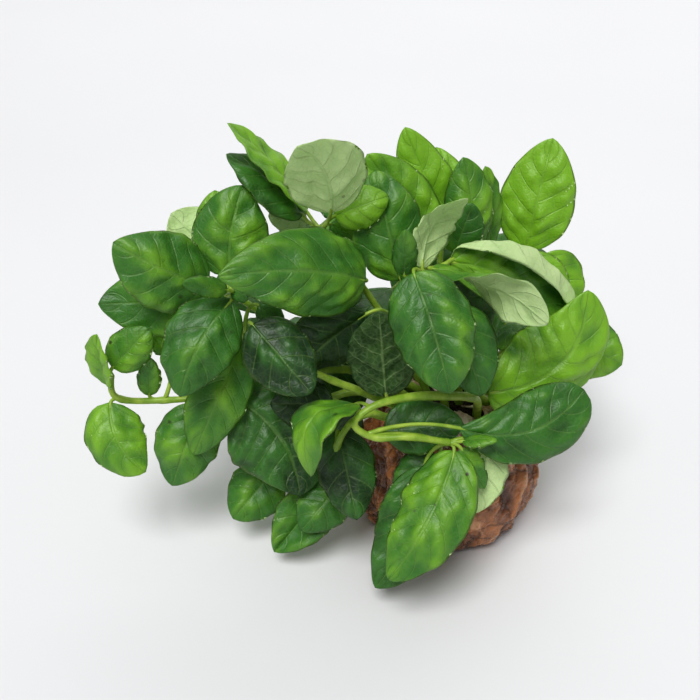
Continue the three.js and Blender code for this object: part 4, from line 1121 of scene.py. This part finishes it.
def add_crumb(shape, x, y, size, draw):
    """A lump of peat: a closed uneven ball of two rings and two poles, half sunk in the soil."""
    z = soil_height(x, y, math.hypot(x, y) / SOIL_REACH)
    angles = np.arange(CRUMB_SIDES) * 2 * math.pi / CRUMB_SIDES
    rings = []
    for level in (-0.45, 0.45):
        radii = size * np.array([0.75 + 0.5 * draw() for _ in angles])
        height = np.full(CRUMB_SIDES, z + level * size)
        rings.append(np.stack([x + radii * np.cos(angles), y + radii * np.sin(angles), height], axis=-1))
    poles = np.array([[x, y, z - 0.9 * size], [x, y, z + 0.9 * size]])
    points = np.concatenate(rings + [poles])
    flat = np.zeros((len(points), 2))
    first = shape.add(points, flat, flat, (draw(), 0.5, 0.5, 1.0), np.full(len(points), 0.8))
    shape.join_rings(first, CRUMB_SIDES, [0])


# ---- Materials ----

class Field:
    """A node's output, which varies over a surface. Plain arithmetic works on it."""

    def __init__(self, make, socket):
        self.make = make
        self.socket = socket

    def math(self, operation, *values):
        return self.make.node("Math", (self, *values), operation=operation)

    def __add__(self, other):
        return self.math("ADD", other)

    def __sub__(self, other):
        return self.math("SUBTRACT", other)

    def __mul__(self, other):
        return self.math("MULTIPLY", other)

    def step(self, low, high, start=0.0, end=1.0):
        """A soft step from start to end as the value goes from low to high."""
        return self.make.node("MapRange", (self, low, high, start, end), interpolation_type="SMOOTHSTEP")

    def near(self, full, reach, most=1.0):
        """The most while the value is up to full, sinking to nought at reach."""
        return self.step(full, reach, most, 0.0)


class Finish:
    """A material under construction, with short names for the nodes that the finishes below use."""

    def __init__(self, name):
        self.material = bpy.data.materials.new(name)
        self.material.use_nodes = True
        self.tree = self.material.node_tree
        self.tree.nodes.clear()

    def node(self, kind, inputs=(), output=0, **settings):
        made = self.tree.nodes.new("ShaderNode" + kind)
        for key, value in settings.items():
            setattr(made, key, value)
        pairs = inputs.items() if isinstance(inputs, dict) else enumerate(inputs)
        for key, value in pairs:
            if isinstance(value, Field):
                self.tree.links.new(value.socket, made.inputs[key])
            else:
                made.inputs[key].default_value = value
        return Field(self, made.outputs[output])

    def parts(self, kind, value):
        """The three parts of a vector or a colour."""
        split = self.node(kind, (value,)).socket.node
        return [Field(self, socket) for socket in split.outputs]

    def mix(self, share, first, second):
        return self.node("Mix", {0: share, 6: first, 7: second}, output=2, data_type="RGBA")

    def uv(self, layer):
        return self.node("UVMap", uv_map=layer)

    def attribute(self, name, output):
        return self.node("Attribute", output=output, attribute_name=name)

    def where(self):
        """The place on the object, in metres."""
        return self.node("TexCoord", output="Object")

    def noise(self, vector, scale, detail=3.0, roughness=0.5, output=0):
        inputs = {"Vector": vector, "Scale": scale, "Detail": detail, "Roughness": roughness}
        return self.node("TexNoise", inputs, output=output)

    def warped(self, vector, scale, amount):
        """A place moved about by soft noise."""
        shift = self.noise(vector, scale, output="Color")
        moved = self.node("VectorMath", {0: shift, "Scale": amount}, operation="SCALE")
        return self.node("VectorMath", (vector, moved), operation="ADD")

    def cells(self, vector, scale, feature="DISTANCE_TO_EDGE"):
        inputs = {"Vector": vector, "Scale": scale}
        return self.node("TexVoronoi", inputs, output="Distance", feature=feature)

    def bump(self, height, distance, strength):
        return self.node("Bump", {"Height": height, "Distance": distance, "Strength": strength})

    def skin(self, base, roughness, normal, specular=0.5):
        inputs = {"Base Color": base, "Roughness": roughness, "Normal": normal}
        inputs["Specular IOR Level"] = specular
        return self.node("BsdfPrincipled", inputs)

    def finish(self, shader):
        end = self.tree.nodes.new("ShaderNodeOutputMaterial")
        self.tree.links.new(shader.socket, end.inputs["Surface"])
        return self.material

    def finish_leaf(self, skin, glow, share, normal):
        """Some of the light that reaches a leaf goes through it and makes it glow."""
        through = self.node("BsdfTranslucent", {"Color": glow, "Normal": normal})
        return self.finish(self.node("MixShader", (share, skin, through)))


def colour(red, green, blue):
    """A linear colour with its alpha."""
    return (red, green, blue, 1.0)


def leaf_masks(make):
    """Masks shared by both faces of a leaf: midrib, lateral veins, fine net, margin, mottling and spots, with
    the leaf's tone and the light and shade painted from its relief.
    """
    across, along, _ = make.parts("SeparateXYZ", make.uv("place"))
    size = make.uv("size")
    side = across * 2.0 - 1.0
    over = side.math("ABSOLUTE")
    rise = over.math("POWER", VEIN_BEND) * VEIN_RISE
    tone, spotted, pairs = make.parts("SeparateColor", make.attribute("tint", "Color"))
    phase = (along - rise) * (pairs * 10.0) + side.math("GREATER_THAN", 0.0) * VEIN_SIDE_SHIFT
    lateral = phase.math("PINGPONG", 0.5).near(0.0, 0.07) * over.near(0.75, 1.0)
    veins = lateral.math("MAXIMUM", over.near(0.015, 0.06))
    spots = make.cells(size, 0.9, "F1").near(0.05, 0.11) * make.noise(size, 0.45).step(0.44, 0.52)
    bruises = make.noise(size, 0.55, 5.0, 0.65).step(0.66, 0.7)
    return dict(
        size=size, veins=veins, net=make.cells(size, 3.4).near(0.02, 0.16), margin=over.step(0.9, 1.0),
        mottle=make.noise(size, 0.9, 4.0, 0.6), tone=tone, painted_light=make.attribute("painted_light", "Fac"),
        spots=spots.math("MAXIMUM", bruises) * spotted.step(0.0, 0.8),
    )


def leaf_upper():
    make = Finish("leaf_upper_face")
    mask = leaf_masks(make)
    # The relief paints light and shade into the colour: puffs lighter, hollows and dents darker.
    tone = mask["tone"] + (mask["mottle"] - 0.5) * 0.35 + (mask["painted_light"] - 0.5) * 0.3
    tone = make.node("Clamp", (tone,))
    # Tones near 0 give a near-black green, painted shade for the inner leaves.
    deep = make.mix(tone.step(0.0, 0.5), colour(0.006, 0.035, 0.006), colour(0.05, 0.19, 0.025))
    green = make.mix(tone.step(0.45, 1.0), deep, colour(0.25, 0.5, 0.03))
    green = make.mix(mask["veins"] * 0.22 + mask["net"] * 0.07, green, colour(0.25, 0.42, 0.1))
    green = make.mix(mask["margin"] * 0.35, green, colour(0.3, 0.45, 0.09))
    green = make.mix(mask["spots"], green, colour(0.03, 0.018, 0.008))
    grain = make.noise(mask["size"], 9.0, 2.0) * 0.5
    normal = make.bump(mask["veins"] * -1.0 + mask["net"] * -0.3 + grain, 0.00035, 0.6)
    roughness = make.noise(mask["size"], 2.2) * 0.22 + 0.36
    glow = make.mix(tone, colour(0.12, 0.4, 0.01), colour(0.45, 0.75, 0.03))
    return make.finish_leaf(make.skin(green, roughness, normal, 0.7), glow, 0.25, normal)


def leaf_under():
    make = Finish("leaf_under_face")
    mask = leaf_masks(make)
    # Low tones give dark undersides, painted shade for the inner leaves.
    green = make.mix(mask["tone"].step(0.0, 0.9), colour(0.035, 0.09, 0.025), colour(0.8, 1.0, 0.5))
    green = make.mix(mask["mottle"].step(0.4, 0.7) * 0.2, green, colour(0.25, 0.5, 0.12))
    green = make.mix(mask["veins"] * 0.3 + mask["net"] * 0.15, green, colour(0.5, 0.68, 0.3))
    green = make.mix(mask["spots"], green, colour(0.05, 0.03, 0.015))
    normal = make.bump(mask["veins"] + mask["net"] * 0.3, 0.0004, 0.7)
    return make.finish_leaf(make.skin(green, 0.6, normal), colour(0.45, 0.65, 0.08), 0.28, normal)


def stem_skin():
    make = Finish("stem_skin")
    where = make.where()
    fine = make.noise(where, 900.0, 2.0)
    patches = make.noise(where, 140.0).step(0.35, 0.7)
    green = make.mix(patches, colour(0.2, 0.34, 0.03), colour(0.36, 0.5, 0.07))
    green = make.mix(fine.step(0.62, 0.75, 0.0, 0.4), green, colour(0.5, 0.55, 0.25))
    return make.finish(make.skin(green, 0.42, make.bump(fine, 0.0002, 0.4)))


def film_outside():
    make = Finish("film_outside")
    where = make.where()
    painted_light = make.attribute("painted_light", "Fac")
    patches = make.noise(where, 45.0, 5.0, 0.6)
    fine = make.noise(where, 420.0, 4.0, 0.6)
    large = make.cells(make.warped(where, 60.0, 0.012), 62.0)
    small = make.cells(make.warped(where, 90.0, 0.01), 150.0)
    # Painted shade and light from the creases: dark brown in the folds, orange-brown on the ridges.
    brown = make.mix(painted_light.step(0.0, 0.8), colour(0.1, 0.034, 0.014), colour(0.46, 0.18, 0.065))
    brown = make.mix(patches.step(0.5, 0.7, 0.0, 0.3), brown, colour(0.17, 0.07, 0.035))
    # The large and small crease lines are painted shade: thin dark lines along the creases.
    brown = make.mix(large.near(0.0, 0.08, 0.6), brown, colour(0.04, 0.014, 0.007))
    brown = make.mix(small.near(0.0, 0.07, 0.3), brown, colour(0.07, 0.024, 0.011))
    # Painted highlight: pale orange along the highest ridges.
    brown = make.mix(painted_light.step(0.85, 1.2, 0.0, 0.8), brown, colour(0.7, 0.36, 0.18))
    normal = make.bump(large * 1.6 + small * 0.6 + fine * 0.08, 0.003, 0.65)
    return make.finish(make.skin(brown, fine * 0.24 + 0.14, normal, 0.6))


def film_inside():
    make = Finish("film_inside")
    patches = make.noise(make.where(), 90.0, 5.0, 0.6)
    beige = make.mix(patches.step(0.4, 0.68), colour(0.72, 0.62, 0.5), colour(0.36, 0.2, 0.11))
    # Painted shade: the low folds of the film are darkened.
    fold_shade = make.attribute("painted_light", "Fac").near(0.1, 0.55, 0.75)
    beige = make.mix(fold_shade, beige, colour(0.12, 0.06, 0.03))
    return make.finish(make.skin(beige, 0.35, make.bump(patches, 0.0015, 0.6)))


def peat():
    make = Finish("peat")
    where = make.where()
    grains = make.cells(where, 700.0, "F1")
    patches = make.noise(where, 160.0, 5.0, 0.7)
    brown = make.mix(patches.step(0.35, 0.7), colour(0.014, 0.009, 0.006), colour(0.06, 0.036, 0.02))
    brown = make.mix(grains.step(0.7, 0.9, 0.0, 0.5), brown, colour(0.16, 0.11, 0.07))
    return make.finish(make.skin(brown, 0.9, make.bump(grains + patches, 0.0012, 0.9)))


def pale_floor():
    make = Finish("pale_floor")
    tone = make.mix(make.noise(make.where(), 3.0, 2.0), colour(0.7, 0.7, 0.71), colour(0.74, 0.74, 0.75))
    return make.finish(make.node("BsdfPrincipled", {"Base Color": tone, "Roughness": 0.6}))


# ---- Camera, light and floor ----

SENSOR_WIDTH = 36.0
FLOOR_REACH = 4.0
# Each light: the way towards it, its strength, and its spread in degrees.
LIGHTS = {
    "key": ((-0.2, -0.5, 1.0), 2.2, 28),
    "overhead": ((0.0, 0.0, 1.0), 0.4, 100),
    "backlight": ((0.2, 0.9, 0.5), 0.7, 60),
}
SKY_COLOUR = (0.96, 0.98, 1.0, 1.0)
SKY_STRENGTH = 0.22


def metres(point):
    return Vector([value * MM for value in point])


def make_camera():
    data = bpy.data.cameras.new("camera")
    data.sensor_width = SENSOR_WIDTH
    data.lens = SENSOR_WIDTH * VIEW_FOCAL / PICTURE_WIDTH
    camera = bpy.data.objects.new("camera", data)
    camera.location = metres(VIEW_EYE)
    camera.rotation_euler = (math.pi / 2 - VIEW_ELEVATION, 0, 0)
    bpy.context.scene.collection.objects.link(camera)
    bpy.context.scene.camera = camera


def make_soft_sun(name, place, strength, spread):
    """Even light from one side of the sky, as from a large softbox."""
    data = bpy.data.lights.new(name, "SUN")
    data.energy = strength
    data.angle = math.radians(spread)
    light = bpy.data.objects.new(name, data)
    light.rotation_euler = Vector(place).to_track_quat("Z", "Y").to_euler()
    bpy.context.scene.collection.objects.link(light)


def make_stage():
    floor_mesh = bpy.data.meshes.new("floor")
    corners = [(-1, -1), (1, -1), (1, 1), (-1, 1)]
    floor_mesh.from_pydata([(x * FLOOR_REACH, y * FLOOR_REACH, 0) for x, y in corners], [], [(0, 1, 2, 3)])
    floor_mesh.materials.append(pale_floor())
    floor = bpy.data.objects.new("floor", floor_mesh)
    bpy.context.scene.collection.objects.link(floor)
    floor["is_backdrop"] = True
    world = bpy.data.worlds.new("studio")
    world.use_nodes = True
    background = world.node_tree.nodes["Background"]
    background.inputs["Color"].default_value = SKY_COLOUR
    background.inputs["Strength"].default_value = SKY_STRENGTH
    bpy.context.scene.world = world
    bpy.context.scene.view_settings.view_transform = "Standard"
    bpy.context.scene.view_settings.look = "Medium High Contrast"
    for name, (place, strength, spread) in LIGHTS.items():
        make_soft_sun(name, place, strength, spread)


# ---- Assembly ----

make_camera()
make_stage()
stems = make_stems()
blades = place_seen_leaves(stems)
grow_back_leaves(blades, stems)
leaf_materials = [stem_skin(), leaf_upper(), leaf_under()]
for stem_name, stem in stems.items():
    leafy_stem(stem_name, stem, [blade for blade in blades if blade["stem"] == stem_name], leaf_materials)
make_wrap([film_outside(), film_inside()], [stem["foot"] for stem in stems.values()])
make_root_ball([peat()])

visual_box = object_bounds()
boxes = {"cad": cad_box, "visual": visual_box}
{name: [list(corner) for corner in box] for name, box in boxes.items()}
